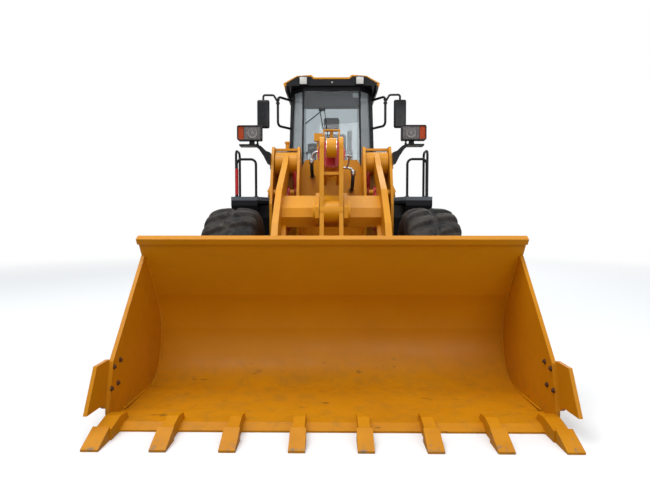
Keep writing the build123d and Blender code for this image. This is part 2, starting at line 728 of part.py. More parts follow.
SIDE_TOP = 1090
side_back = LIP[0] + (LIP[1] - SIDE_TOP) / (LIP[1] - KNEE[1]) * (KNEE[0] - LIP[0])
with BuildPart() as bucket:
    with BuildSketch(Plane.YZ.offset(-BUCKET_HALF)) as sheet:
        with BuildLine():
            sheet_line(OUTER_SHEET)
            sheet_line(INNER_SHEET)
            for end in (0, 6):
                Polyline(*[at(*point) for point in behind_edge([OUTER_SHEET[end], INNER_SHEET[end]])])
        make_face()
    extrude(sheet.sketch, amount=2 * BUCKET_HALF)
    for side in (-1, 1):
        with BuildSketch(Plane.YZ.offset(side * BUCKET_HALF)) as cheek:
            with BuildLine():
                sheet_line(OUTER_SHEET[:6] + ((side_back, SIDE_TOP),))
                Polyline(
                    *[
                        at(*point)
                        for point in behind_edge(
                            [
                                (side_back, SIDE_TOP),
                                (763, SIDE_TOP),
                                (156, 417),
                                (80, 120),
                                (80, EDGE_THICKNESS),
                                (EDGE_DEPTH, EDGE_THICKNESS),
                                (EDGE_DEPTH, 0),
                            ]
                        )
                    ]
                )
            make_face()
        extrude(cheek.sketch, amount=-side * BUCKET_SIDE)
    slab(
        -BUCKET_HALF,
        BUCKET_HALF,
        behind_edge([(700, 1250), (655, 1222), (683, 1180), (728, 1208)]),
    )
    # Hinge plates on both sides of each boom nose, and the link's bracket
    ear_starts = [side * ARM_X + face * (NOSE_WIDTH / 2 + SIDE_PLAY) for side in (-1, 1) for face in (-1, 1)]
    for start in ear_starts:
        outward = 1 if (start > 0) == (abs(start) > ARM_X) else -1
        slab(
            start,
            start + outward * HINGE_EAR,
            ((-1140, 690), (-1265, 740), (-1150, 470), (-1180, 260), (-1240, 140), (-1120, 190), (-1040, 205), (-940, 260), (-920, 340), (-970, 440)),
        )
    for side in (-1, 1):
        start = side * (LINK_FRONT_WIDTH / 2 + SIDE_PLAY)
        slab(
            start,
            start + side * LINK_BRACKET,
            ((-1130, 700), (-1235, 745), (-1155, 500), (-1160, 350), (-1040, 400), (-970, 480), (-965, 560), (-1020, 620)),
        )
        barrel(LINK_EYE, LINK_PIN + PIN_FIT, start - side * 5, start + side * 40, mode=Mode.SUBTRACT)
    for side in (-1, 1):
        barrel(BUCKET_HINGE, NOSE_PIN + PIN_FIT, *span(ARM_X, side, 120), mode=Mode.SUBTRACT)
save(bucket, "bucket")

with BuildPart() as cutting_edge:
    slab(
        -BUCKET_HALF,
        BUCKET_HALF,
        behind_edge([(0, 0), (0, 12), (70, EDGE_THICKNESS), (EDGE_DEPTH, EDGE_THICKNESS), (EDGE_DEPTH, 0)]),
    )
    for side in (-1, 1):
        slab(
            side * BUCKET_HALF,
            side * (BUCKET_HALF + CUTTER_THICKNESS),
            behind_edge([(156, 430), (-20, 433), (-170, 165), (35, 155), (80, 120), (230, 160), (230, 380)]),
        )
save(cutting_edge, "cutting_edge")

TOOTH_CAP = behind_edge([(-TOOTH_LENGTH, 0), (-TOOTH_LENGTH, 14), (-125, 86), (-125, 0)])
ADAPTER = behind_edge([(-125, 0), (-125, 70), (20, 100), (120, 86), (150, 40), (70, 40), (0, 12), (0, 0)])
TOOTH_PITCH = 2 * (BUCKET_HALF - CORNER_TOOTH / 2) / (TOOTH_COUNT - 1)
with BuildPart() as bucket_teeth:
    for index in range(1, TOOTH_COUNT - 1):
        x = (index - (TOOTH_COUNT - 1) / 2) * TOOTH_PITCH
        slab(x - 50, x + 50, TOOTH_CAP)
        slab(x - 38, x + 38, ADAPTER)
    for side in (-1, 1):
        slab(side * (BUCKET_HALF - CORNER_TOOTH), side * (BUCKET_HALF - 14), TOOTH_CAP)
        slab(side * (BUCKET_HALF - CORNER_TOOTH - 10), side * (BUCKET_HALF - BUCKET_SIDE), ADAPTER)
save(bucket_teeth, "bucket_teeth")

# Rear frame: hinge arms, rails, cross members, cab posts
with BuildPart() as rear_frame:
    for level in (UPPER_HINGE, LOWER_HINGE):
        for lift in (-1, 1):
            z = level + lift * (HINGE_PLATE / 2 + HINGE_GAP)
            z0, z1 = min(z, z + lift * 40), max(z, z + lift * 40)
            post(0, PIVOT_BACK, HINGE_RADIUS, z0, z1)
            level_plate(
                z0,
                z1,
                ((-130, PIVOT_BACK), (130, PIVOT_BACK), (230, 1850), (230, 2500), (-230, 2500), (-230, 1850)),
            )
        post(0, PIVOT_BACK, HINGE_PIN, level - 76, level + 76)
    for side in (-1, 1):
        for level in (UPPER_HINGE, LOWER_HINGE):
            slab(
                side * 200,
                side * 230,
                ((1880, level - 76), (1880, level + 76), (2500, level + 76), (2500, level - 76)),
            )
        slab(
            side * (RAIL_X - RAIL_THICKNESS / 2),
            side * (RAIL_X + RAIL_THICKNESS / 2),
            ((2440, 1256), (2440, 484), (2560, 484), (2760, RAIL_ARCH), (3600, RAIL_ARCH), (3700, RAIL_UNDER), (5100, RAIL_UNDER), (5100, RAIL_TOP), (3300, RAIL_TOP), (3000, 1256)),
        )
        for back in (2440, 3060):
            block(
                sorted((side * (RAIL_X - 40), side * (RAIL_X + 40))),
                (back, back + 80),
                (1200, CAB_FLOOR),
            )
        x, rear = STEER_REAR
        for lift in (-1, 1):
            z = STEER_UP + lift * (32 + SIDE_PLAY)
            level_plate(
                min(z, z + lift * 22),
                max(z, z + lift * 22),
                (
                    (side * (x - 60), 2460),
                    (side * (x - 50), PIVOT_BACK + rear),
                    (side * (x - 30), PIVOT_BACK + rear - 45),
                    (side * (x + 30), PIVOT_BACK + rear - 45),
                    (side * (x + 50), PIVOT_BACK + rear),
                    (side * (x + 60), 2460),
                ),
            )
        post(side * x, PIVOT_BACK + rear, STEER_PIN, STEER_UP - 60, STEER_UP + 60)
    block((-RAIL_X, RAIL_X), (2440, 2480), (484, 640))
    block((-RAIL_X, RAIL_X), (2440, 2480), (900, 1256))
    for back in (3600, 4400, 5040):
        block((-RAIL_X, RAIL_X), (back, back + 60), (RAIL_UNDER + 150, ENGINE_UNDER))
    for offset_back, radius in ((-BEARING_REACH, PINION_RADIUS), (BEARING_REACH, STUB_RADIUS)):
        start = WHEELBASE + offset_back - 20
        level = TYRE_RADIUS
        with BuildSketch(Plane.XZ.offset(-(FRONT_AXLE_Y + start))) as bearing:
            Polygon(
                (-RAIL_X, 1110),
                (-RAIL_X, RAIL_ARCH + 20),
                (-160, level - 130),
                (160, level - 130),
                (RAIL_X, RAIL_ARCH + 20),
                (RAIL_X, 1110),
                align=None,
            )
            with Locations((0, level)):
                Circle(radius + SEAT, mode=Mode.SUBTRACT)
        extrude(bearing.sketch, amount=-40)
save(rear_frame, "rear_frame")

with BuildPart() as engine_block:
    block((-300, 300), (3720, 4700), (ENGINE_UNDER, 1900))
    block((-260, 260), (2720, 3720), (ENGINE_UNDER, 1500))
save(engine_block, "engine_block")

# Hood over the engine, hollow and open below, with louvres in its sides
LOUVRE_STARTS = (3720, 4260)
LOUVRE_LENGTH = 420
LOUVRE_ROWS = 7
LOUVRE_UNDER = 1700
LOUVRE_PITCH = 64
LOUVRE_GAP = 26
with BuildPart() as engine_hood:
    with BuildSketch(Plane.XZ.offset(-(FRONT_AXLE_Y + HOOD_FRONT))) as hood_section:
        with Locations((0, (HOOD_UNDER + HOOD_TOP) / 2)):
            Rectangle(2 * HOOD_HALF, HOOD_TOP - HOOD_UNDER)
        fillet(hood_section.vertices().group_by(Axis.Z)[-1], 120)
    extrude(hood_section.sketch, amount=-(HOOD_REAR - HOOD_FRONT))
    block(
        (-HOOD_HALF + HOOD_WALL, HOOD_HALF - HOOD_WALL),
        (HOOD_FRONT + HOOD_WALL, HOOD_REAR + 10),
        (HOOD_UNDER - 10, HOOD_TOP - 60),
        mode=Mode.SUBTRACT,
    )
    block((-320, 320), (HOOD_FRONT - 10, HOOD_FRONT + 50), (HOOD_UNDER - 10, 1560), mode=Mode.SUBTRACT)
    for side in (-1, 1):
        for start in LOUVRE_STARTS:
            for row in range(LOUVRE_ROWS):
                low = LOUVRE_UNDER + row * LOUVRE_PITCH
                block(
                    sorted((side * (HOOD_HALF - HOOD_WALL - 10), side * (HOOD_HALF + 10))),
                    (start, start + LOUVRE_LENGTH),
                    (low, low + LOUVRE_GAP),
                    mode=Mode.SUBTRACT,
                )
save(engine_hood, "engine_hood")

# Grille that closes the hood's tail, with level bars and a middle post
GRILLE_UNDER = 1460
GRILLE_BARS = 12
GRILLE_PITCH = 62
with BuildPart() as radiator_grille:
    block(
        (-HOOD_HALF + HOOD_WALL + SEAT, HOOD_HALF - HOOD_WALL - SEAT),
        (HOOD_REAR - 60, HOOD_REAR - 10),
        (GRILLE_UNDER, HOOD_TOP - 60 - SEAT),
    )
    for row in range(GRILLE_BARS):
        low = GRILLE_UNDER + 50 + row * GRILLE_PITCH
        for side in (-1, 1):
            block(
                sorted((side * 20, side * (HOOD_HALF - HOOD_WALL - 60))),
                (HOOD_REAR - 65, HOOD_REAR),
                (low, low + GRILLE_PITCH / 2),
                mode=Mode.SUBTRACT,
            )
save(radiator_grille, "radiator_grille")

# Counterweight at the tail, with the tow pin's bore and two tie down lugs
TOW_BACK = 5300
TOW_BORE = 26
LUG_X = 1185
LUG_BACK = 5050
LUG_BORE = 22
LUG_UNDER = 800
LUG_PLATE = 32
with BuildPart() as counterweight:
    level_plate(
        760,
        1450,
        ((-1150, 4850), (-700, 4760), (-700, HOOD_REAR), (700, HOOD_REAR), (700, 4760), (1150, 4850), (1150, 5200), (900, WHEELBASE + REAR_OVERHANG), (-900, WHEELBASE + REAR_OVERHANG), (-1150, 5200)),
    )
    post(0, TOW_BACK, TOW_BORE, 740, 1460, mode=Mode.SUBTRACT)
    block((-90, 90), (5220, 5400), (860, 960), mode=Mode.SUBTRACT)
    for side in (-1, 1):
        level_plate(
            LUG_UNDER,
            LUG_UNDER + LUG_PLATE,
            [(side * x, back) for x, back in ((1140, 4960), (1220, 5010), (1220, 5090), (1140, 5140))],
        )
        post(side * LUG_X, LUG_BACK, LUG_BORE, LUG_UNDER - 5, LUG_UNDER + LUG_PLATE + 5, mode=Mode.SUBTRACT)
save(counterweight, "counterweight")

with BuildPart() as exhaust:
    post(330, 3900, 60, HOOD_TOP, 2650)
    post(330, 3900, 45, 2650, 3000)
    post(-330, 3900, 50, HOOD_TOP, 2600)
    post(-330, 3900, 110, 2600, 2760)
save(exhaust, "exhaust_and_intake")


# Cab: a six sided room that leans in towards the roof
def cab_plan(inset, lean):
    """The plan of the cab as (x, back) points, drawn in by inset, for the floor or top."""
    half = (CAB_HALF_TOP if lean else CAB_HALF) - inset
    pane = CAB_PANE_HALF - inset * 0.5 - (20 if lean else 0)
    front = CAB_FRONT + inset + (70 if lean else 0)
    corner = 2120 + inset * 0.4 + (50 if lean else 0)
    rear = CAB_REAR - inset - (40 if lean else 0)
    return [(-pane, front), (pane, front), (half, corner), (half, rear), (-half, rear), (-half, corner)]


def cab_half(up):
    """Half the cab's width at a height."""
    return CAB_HALF - (CAB_HALF - CAB_HALF_TOP) * (up - CAB_FLOOR) / (CAB_TOP - CAB_FLOOR)


def cab_block(inset, z_from, z_to, mode=Mode.ADD):
    """A loft through the cab's plan between two heights, drawn in by inset."""
    faces = []
    for z, lean in ((CAB_FLOOR, False), (CAB_TOP, True)):
        with BuildSketch(Plane.XY.offset(z)) as plan:
            with BuildLine():
                Polyline(*[(x, FRONT_AXLE_Y + back) for x, back in cab_plan(inset, lean)], close=True)
            make_face()
        faces.append(plan.sketch)
    with BuildPart(mode=Mode.PRIVATE) as whole:
        loft(faces)
        block((-900, 900), (CAB_FRONT - 100, CAB_REAR + 100), (z_from, z_to), mode=Mode.INTERSECT)
    add(whole.part, mode=mode)


WINDOW_UNDER = 1960
WINDOW_TOP = 3240
PANE_SEAM = 17
DOOR_BACK = (2300, 3040)
DOOR_UP = (1790, 3170)
DOOR_GAP = 6
DOOR_HINGE_X = CAB_HALF + 14
DOOR_HINGE_BACK = DOOR_BACK[1] - 30
KNUCKLE_UPS = (1900, 2940)


def window_cuts(shrink, mode=Mode.SUBTRACT):
    """The front, corner and rear window openings, each drawn in by shrink."""
    low = WINDOW_UNDER + shrink
    high = WINDOW_TOP - shrink
    middle = CAB_PANE_HALF - PANE_SEAM - shrink
    inner = CAB_PANE_HALF + PANE_SEAM / 2 + shrink
    outer = -CAB_WALL - 7 - shrink
    panes = [[(-middle, low), (middle, low), (middle - 20, high), (20 - middle, high)]]
    for side in (-1, 1):
        corners = ((inner, low), (cab_half(low) + outer, low), (cab_half(high) + outer, high), (inner - 20, high))
        panes.append([(side * x, z) for x, z in corners])
    for pane in panes:
        with BuildSketch(Plane.XZ.offset(-(FRONT_AXLE_Y + CAB_FRONT - 50))) as opening:
            ring_of(pane)
        extrude(opening.sketch, amount=-285, mode=mode)
    block(
        (-500 + shrink, 500 - shrink),
        (CAB_REAR - 200, CAB_REAR + 50),
        (2150 + shrink, high),
        mode=mode,
    )


with BuildPart() as cab_shell:
    cab_block(0, CAB_FLOOR, CAB_TOP)
    cab_block(CAB_WALL, CAB_FLOOR + 50, CAB_TOP - 40, mode=Mode.SUBTRACT)
    window_cuts(0)
    block((-900, 900), DOOR_BACK, DOOR_UP, mode=Mode.SUBTRACT)
    for side in (-1, 1):
        for up in KNUCKLE_UPS:
            post(side * DOOR_HINGE_X, DOOR_HINGE_BACK, 6, up - 70, up + 70)
            for start in (up - 70, up + 42):
                post(side * DOOR_HINGE_X, DOOR_HINGE_BACK, 14, start, start + 28)
                for x, back in ((cab_half(start) + 3, DOOR_HINGE_BACK + 2), (cab_half(start) - 20, DOOR_BACK[1])):
                    block(
                        sorted((side * x, side * DOOR_HINGE_X)),
                        (back, DOOR_BACK[1] + 40),
                        (start, start + 28),
                    )
save(cab_shell, "cab_shell")

with BuildPart() as pane_forms:
    window_cuts(SEAT, mode=Mode.ADD)
with BuildPart() as cab_glass:
    cab_block(14, CAB_FLOOR + 60, CAB_TOP - 60)
    cab_block(24, CAB_FLOOR + 50, CAB_TOP - 50, mode=Mode.SUBTRACT)
    add(pane_forms.part, mode=Mode.INTERSECT)
save(cab_glass, "cab_glass")

for name, side in SIDES:
    frame_range = (DOOR_BACK[0] + DOOR_GAP, DOOR_BACK[1] - DOOR_GAP)
    up_range = (DOOR_UP[0] + DOOR_GAP, DOOR_UP[1] - DOOR_GAP)
    with BuildPart() as door_form:
        block(sorted((side * 300, side * 900)), frame_range, up_range)
    with BuildPart() as door:
        cab_block(0, CAB_FLOOR, CAB_TOP)
        cab_block(CAB_WALL - 5, CAB_FLOOR - 5, CAB_TOP + 5, mode=Mode.SUBTRACT)
        add(door_form.part, mode=Mode.INTERSECT)
        block(
            sorted((side * 300, side * 900)),
            (frame_range[0] + 70, frame_range[1] - 70),
            (2080, up_range[1] - 80),
            mode=Mode.SUBTRACT,
        )
        for up in KNUCKLE_UPS:
            post(side * DOOR_HINGE_X, DOOR_HINGE_BACK, 14, up - 40, up + 40)
            block(
                sorted((side * (CAB_HALF_TOP - 10), side * DOOR_HINGE_X)),
                (DOOR_HINGE_BACK - 14, DOOR_HINGE_BACK - 2),
                (up - 40, up + 40),
            )
            post(side * DOOR_HINGE_X, DOOR_HINGE_BACK, 6 + PIN_FIT, up - 41, up + 41, mode=Mode.SUBTRACT)
    save(door, f"door_{name}")
    with BuildPart() as glass_form:
        block(
            sorted((side * 300, side * 900)),
            (frame_range[0] + 70 + SEAT, frame_range[1] - 70 - SEAT),
            (2080 + SEAT, up_range[1] - 80 - SEAT),
        )
    with BuildPart() as door_glass:
        cab_block(14, CAB_FLOOR + 60, CAB_TOP - 60)
        cab_block(24, CAB_FLOOR + 50, CAB_TOP - 50, mode=Mode.SUBTRACT)
        add(glass_form.part, mode=Mode.INTERSECT)
    save(door_glass, f"door_glass_{name}")

# Roof: a thin shell with two raised ribs, over a dark fascia that carries the work lamps
ROOF_FRONT = CAB_FRONT - 10
ROOF_REAR = CAB_REAR + 40
ROOF_LIP = CAB_TOP - 95
FASCIA_DEPTH = 30
LAMP_SIZE = 122
WORK_LAMP_UP = CAB_TOP + 63
ROOF_SECTION = (
    (ROOF_HALF - 54, CAB_TOP),
    (ROOF_HALF - 54, ROOF_LIP),
    (ROOF_HALF - 34, ROOF_LIP),
    (ROOF_HALF, CAB_TOP + 30),
    (500, ROOF_TOP - 14),
    (290, ROOF_TOP),
    (250, ROOF_TOP - 35),
)
FASCIA_SECTION = (
    (ROOF_HALF - 54, CAB_TOP),
    (ROOF_HALF - 30, CAB_TOP + 26),
    (494, ROOF_TOP - 24),
    (296, ROOF_TOP - 20),
    (258, ROOF_TOP - 58),
)


def both_halves(points, inset=0):
    """A symmetric outline from its right half, drawn in by inset."""
    half = [(x - inset, z - inset) for x, z in points]
    return half + [(-x, z) for x, z in reversed(half)]


with BuildPart() as cab_roof:
    with BuildSketch(Plane.XZ.offset(-(FRONT_AXLE_Y + ROOF_FRONT))) as roof_section:
        ring_of(both_halves(ROOF_SECTION))
    extrude(roof_section.sketch, amount=ROOF_FRONT - ROOF_REAR)
    for face, way in ((ROOF_FRONT, 1), (ROOF_REAR, -1)):
        with BuildSketch(Plane.XZ.offset(-(FRONT_AXLE_Y + face))) as recess:
            ring_of(both_halves(FASCIA_SECTION))
        extrude(recess.sketch, amount=-way * FASCIA_DEPTH, mode=Mode.SUBTRACT)
save(cab_roof, "cab_roof")

with BuildPart() as work_lamps:
    for face, way in ((ROOF_FRONT, 1), (ROOF_REAR, -1)):
        plate = [(x, max(z, CAB_TOP + SEAT)) for x, z in both_halves(FASCIA_SECTION, SEAT)]
        with BuildSketch(Plane.XZ.offset(-(FRONT_AXLE_Y + face + way * 6))) as fascia:
            ring_of(plate)
        extrude(fascia.sketch, amount=-way * (FASCIA_DEPTH - 6 - SEAT))
        for x in (-405, 405):
            with BuildSketch(Plane.XZ.offset(-(FRONT_AXLE_Y + face + way * 8))) as lamp:
                with Locations((x, WORK_LAMP_UP)):
                    RectangleRounded(LAMP_SIZE, LAMP_SIZE, 14)
            extrude(lamp.sketch, amount=way * 42)
save(work_lamps, "work_lamps")

with BuildPart() as seat:
    block((-250, 250), (2700, 3100), (CAB_FLOOR + 50 + SEAT, 2000))
    block((-260, 260), (2560, 3100), (2000, 2120))
    block((-240, 240), (3000, 3110), (2120, 2700))
    block((-130, 130), (3020, 3100), (2700, 2900))
save(seat, "operator_seat")

with BuildPart() as steering_column:
    block((-380, 380), (CAB_FRONT + 90, CAB_FRONT + 300), (CAB_FLOOR + 50 + SEAT, 1980))
    column = aimed(0, (CAB_FRONT + 240, 1900), (CAB_FRONT + 440, 2280))
    along(column, 200, 400, 425)
    along(column, 172, 395, 430, mode=Mode.SUBTRACT)
    along(column, 35, 0, 410)
    with BuildSketch(column.offset(404)) as spoke:
        Rectangle(360, 40)
    extrude(spoke.sketch, amount=16)
save(steering_column, "steering_column")

# Decks beside the cab with the mudguards that hang from their front edges
with BuildPart() as decks:
    for side in (-1, 1):
        level_plate(
            DECK_UNDER,
            DECK_TOP,
            [
                (side * x, back)
                for x, back in (
                    (CAB_HALF + SEAT, 1880),
                    (880, 1760),
                    (880, 1690),
                    (FOLD_HALF, DECK_FRONT),
                    (DECK_OUTER, DECK_FRONT),
                    (DECK_OUTER, 2330),
                    (CAB_HALF + SEAT, 2330),
                )
            ],
        )
        slab(
            side * FOLD_HALF,
            side * DECK_OUTER,
            ((DECK_FRONT, DECK_UNDER), (1790, 1150), (1790, 900), (1770, 900), (1770, 1140), (DECK_FRONT, 1570)),
        )
save(decks, "decks")

with BuildPart() as tanks:
    for side in (-1, 1):
        slab(
            side * 640,
            side * 1270,
            ((1810, 760), (1810, 1160), (1700, 1400), (1700, DECK_UNDER), (2330, DECK_UNDER), (2330, 760)),
            rounding=20,
        )
save(tanks, "tanks")

with BuildPart() as rear_fenders:
    outer = ((2332, 1560), (2332, 1670), (2480, FENDER_TOP), (3900, FENDER_TOP), (4150, 1600), (4190, 1450))
    inner = ((4160, 1450), (4120, 1585), (3890, FENDER_TOP - FENDER_SHEET), (2490, FENDER_TOP - FENDER_SHEET), (2362, 1650), (2362, 1560))
    for side in (-1, 1):
        slab(side * (CAB_HALF + SEAT), side * 1350, outer + inner)
save(rear_fenders, "rear_fenders")


def tube_path(points, radius, bend):
    """A round tube through (x, back, up) points with rounded corners."""
    with BuildLine() as path:
        FilletPolyline(*[(x, FRONT_AXLE_Y + back, up) for x, back, up in points], radius=bend)
    line = path.line
    with BuildSketch(Plane(origin=line @ 0, z_dir=line % 0)) as ring:
        RegularPolygon(radius, 8)
    sweep(ring.sketch, path=line)


with BuildPart() as handrails:
    for side in (-1, 1):
        tube_path(
            [
                (side * 1330, 1640, DECK_TOP),
                (side * 1330, 1640, 2220),
                (side * 1060, 1640, 2220),
                (side * 1060, 1640, DECK_TOP),
            ],
            17,
            70,
        )
        tube_path(
            [
                (side * 1350, 1700, DECK_TOP),
                (side * 1350, 1700, 2350),
                (side * 1350, 1990, 2350),
                (side * 1350, 1990, DECK_TOP),
            ],
            17,
            70,
        )
save(handrails, "handrails")

with BuildPart() as ladders:
    for side in (-1, 1):
        for back in (1860, 2270):
            block(
                sorted((side * 1270, side * 1300)),
                (back, back + 30),
                (480, DECK_UNDER),
            )
        for up in (480, 790, 1100, 1400):
            block(
                sorted((side * 1270, side * 1395)),
                (1860, 2300),
                (up, up + 30),
            )
save(ladders, "ladders")

with BuildPart() as mirrors:
    for side in (-1, 1):
        tube_path(
            [
                (side * 590, 2220, 2740),
                (side * 780, 1940, 2740),
                (side * 780, 1940, 3160),
                (side * 590, 2220, 3160),
            ],
            15,
            60,
        )
        block(sorted((side * 900, side * 1080)), (1900, 1960), (2700, 3110))
        tube_path(
            [
                (side * 780, 1940, 3080),
                (side * 840, 1940, 3180),
                (side * 990, 1930, 3180),
                (side * 990, 1930, 3100),
            ],
            12,
            30,
        )
    cab_block(-SEAT, CAB_FLOOR, CAB_TOP, mode=Mode.SUBTRACT)
save(mirrors, "mirrors")

with BuildPart() as rear_lamps:
    for side in (-1, 1):
        block(sorted((side * 850, side * 1030)), (5120, 5200), (1450, 1550))
save(rear_lamps, "rear_lamps")
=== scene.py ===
import math

import bpy
import numpy as np
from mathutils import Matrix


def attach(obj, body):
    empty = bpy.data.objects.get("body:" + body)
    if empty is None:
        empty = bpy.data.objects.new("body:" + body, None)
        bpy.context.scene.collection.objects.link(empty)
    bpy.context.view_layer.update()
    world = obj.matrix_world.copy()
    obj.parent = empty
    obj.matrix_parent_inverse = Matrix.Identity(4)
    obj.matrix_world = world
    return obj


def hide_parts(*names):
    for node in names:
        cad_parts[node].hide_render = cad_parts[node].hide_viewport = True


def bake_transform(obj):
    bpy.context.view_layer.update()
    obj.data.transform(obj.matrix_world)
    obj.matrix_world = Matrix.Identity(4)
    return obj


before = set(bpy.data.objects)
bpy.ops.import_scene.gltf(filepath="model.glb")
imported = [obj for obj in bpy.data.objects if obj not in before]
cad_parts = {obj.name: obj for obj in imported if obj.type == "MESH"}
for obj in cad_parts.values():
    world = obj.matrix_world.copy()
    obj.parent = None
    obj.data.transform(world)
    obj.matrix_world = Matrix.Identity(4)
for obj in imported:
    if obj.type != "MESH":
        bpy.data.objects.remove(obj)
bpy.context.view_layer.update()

FRONT_AXLE_Y = -1.385
TAU = 2 * math.pi
POLE = 0.0005
UPWARDS = (0, 0, 1)
FRONT = "front_chassis"
REAR = "rear_chassis"
SIDES = (("left", 1.0), ("right", -1.0))


# Camera and light
def place_camera():
    """The photograph's standpoint: in the plane of symmetry, 1.37 m above the floor."""
    data = bpy.data.cameras.new("camera")
    data.sensor_width = 36.0
    data.lens = 28.1
    data.clip_end = 200.0
    camera = bpy.data.objects.new("camera", data)
    camera.location = (0.0, -6.895, 1.37)
    camera.rotation_euler = (math.radians(90 - 2.65), 0.0, math.radians(0.73))
    bpy.context.scene.collection.objects.link(camera)
    bpy.context.scene.camera = camera


def soft_lamp(name, place, aim, size, watts):
    """A square area lamp at place that faces aim."""
    data = bpy.data.lights.new(name, "AREA")
    data.shape = "RECTANGLE"
    data.size = size[0]
    data.size_y = size[1]
    data.energy = watts
    lamp = bpy.data.objects.new(name, data)
    lamp.location = place
    way = np.array(aim, float) - np.array(place, float)
    flat = math.hypot(way[0], way[1])
    lamp.rotation_euler = (math.atan2(flat, -way[2]), 0.0, math.atan2(-way[0], way[1]))
    bpy.context.scene.collection.objects.link(lamp)


def new_node(tree, kind, operation=None, **values):
    """A shader node with values for its inputs; an underscore in a key is a space in the input's name."""
    node = tree.nodes.new("ShaderNode" + kind)
    if operation:
        node.operation = operation
    for key, value in values.items():
        node.inputs[key.replace("_", " ")].default_value = value
    return node


def white_to_the_eye(tree, lit, white):
    """A factor of one for camera, glossy and transmission rays, mixing lit with white."""
    link = tree.links.new
    rays = new_node(tree, "LightPath")
    first = new_node(tree, "Math", "MAXIMUM")
    second = new_node(tree, "Math", "MAXIMUM")
    link(rays.outputs["Is Camera Ray"], first.inputs[0])
    link(rays.outputs["Is Glossy Ray"], first.inputs[1])
    link(first.outputs[0], second.inputs[0])
    link(rays.outputs["Is Transmission Ray"], second.inputs[1])
    mix = new_node(tree, "MixShader")
    link(second.outputs[0], mix.inputs[0])
    link(lit.outputs[0], mix.inputs[1])
    link(white.outputs[0], mix.inputs[2])
    return mix


def light_the_scene():
    """A pale world that is brightest overhead, a large soft lamp above and two fills; white to the eye."""
    world = bpy.data.worlds.new("studio")
    bpy.context.scene.world = world
    world.use_nodes = True
    tree = world.node_tree
    lit = tree.nodes["Background"]
    lit.inputs["Color"].default_value = (0.86, 0.92, 1.0, 1.0)
    link = tree.links.new
    place = new_node(tree, "TexCoord")
    parts = new_node(tree, "SeparateXYZ")
    link(place.outputs["Generated"], parts.inputs[0])
    height = new_node(tree, "MapRange", From_Min=-0.1, From_Max=0.9, To_Min=0.22, To_Max=0.78)
    link(parts.outputs["Z"], height.inputs["Value"])
    link(height.outputs[0], lit.inputs["Strength"])
    white = new_node(tree, "Background", Color=(1.0, 1.0, 1.0, 1.0), Strength=1.0)
    mix = white_to_the_eye(tree, lit, white)
    link(mix.outputs[0], tree.nodes["World Output"].inputs["Surface"])
    soft_lamp("key", (-2.5, -4.6, 10.5), (0.0, -1.4, 0.8), (8.0, 8.0), 900.0)
    soft_lamp("fill", (3.0, -11.5, 4.2), (0.0, 0.0, 1.6), (7.0, 4.0), 240.0)
    soft_lamp("back", (3.0, 9.0, 9.0), (0.0, 1.0, 1.5), (7.0, 7.0), 520.0)
    bpy.context.scene.view_settings.view_transform = "Standard"


def lay_floor():
    """A plain pale floor, large enough that its edge is never seen, that throws back little light."""
    reach = 60.0
    drop = -0.0005
    corners = np.array([(-1, -1, 0), (1, -1, 0), (1, 1, 0), (-1, 1, 0)], float) * (reach, reach, 0)
    corners[:, 2] = drop
    mesh = bpy.data.meshes.new("floor")
    mesh.from_pydata(corners.tolist(), [], [(0, 1, 2, 3)])
    floor = bpy.data.objects.new("floor", mesh)
    bpy.context.scene.collection.objects.link(floor)
    material = bpy.data.materials.new("floor_pale")
    material.use_nodes = True
    tree = material.node_tree
    shader = tree.nodes["Principled BSDF"]
    shader.inputs["Roughness"].default_value = 0.95
    link = tree.links.new
    rays = new_node(tree, "LightPath")
    seen = new_node(tree, "Mix")
    seen.data_type = "RGBA"
    seen.inputs[6].default_value = (0.26, 0.26, 0.25, 1.0)
    seen.inputs[7].default_value = (0.84, 0.84, 0.83, 1.0)
    link(rays.outputs["Is Camera Ray"], seen.inputs["Factor"])
    link(seen.outputs[2], shader.inputs["Base Color"])
    place = new_node(tree, "TexCoord")
    length = new_node(tree, "VectorMath", "LENGTH")
    link(place.outputs["Object"], length.inputs[0])
    away = new_node(tree, "MapRange", From_Min=5.5, From_Max=15.0)
    away.interpolation_type = "SMOOTHSTEP"
    link(length.outputs["Value"], away.inputs["Value"])
    glow = new_node(tree, "Emission", Color=(1.0, 1.0, 1.0, 1.0), Strength=1.0)
    fade = new_node(tree, "MixShader")
    link(away.outputs[0], fade.inputs[0])
    link(shader.outputs[0], fade.inputs[1])
    link(glow.outputs[0], fade.inputs[2])
    link(fade.outputs[0], tree.nodes["Material Output"].inputs["Surface"])
    mesh.materials.append(material)


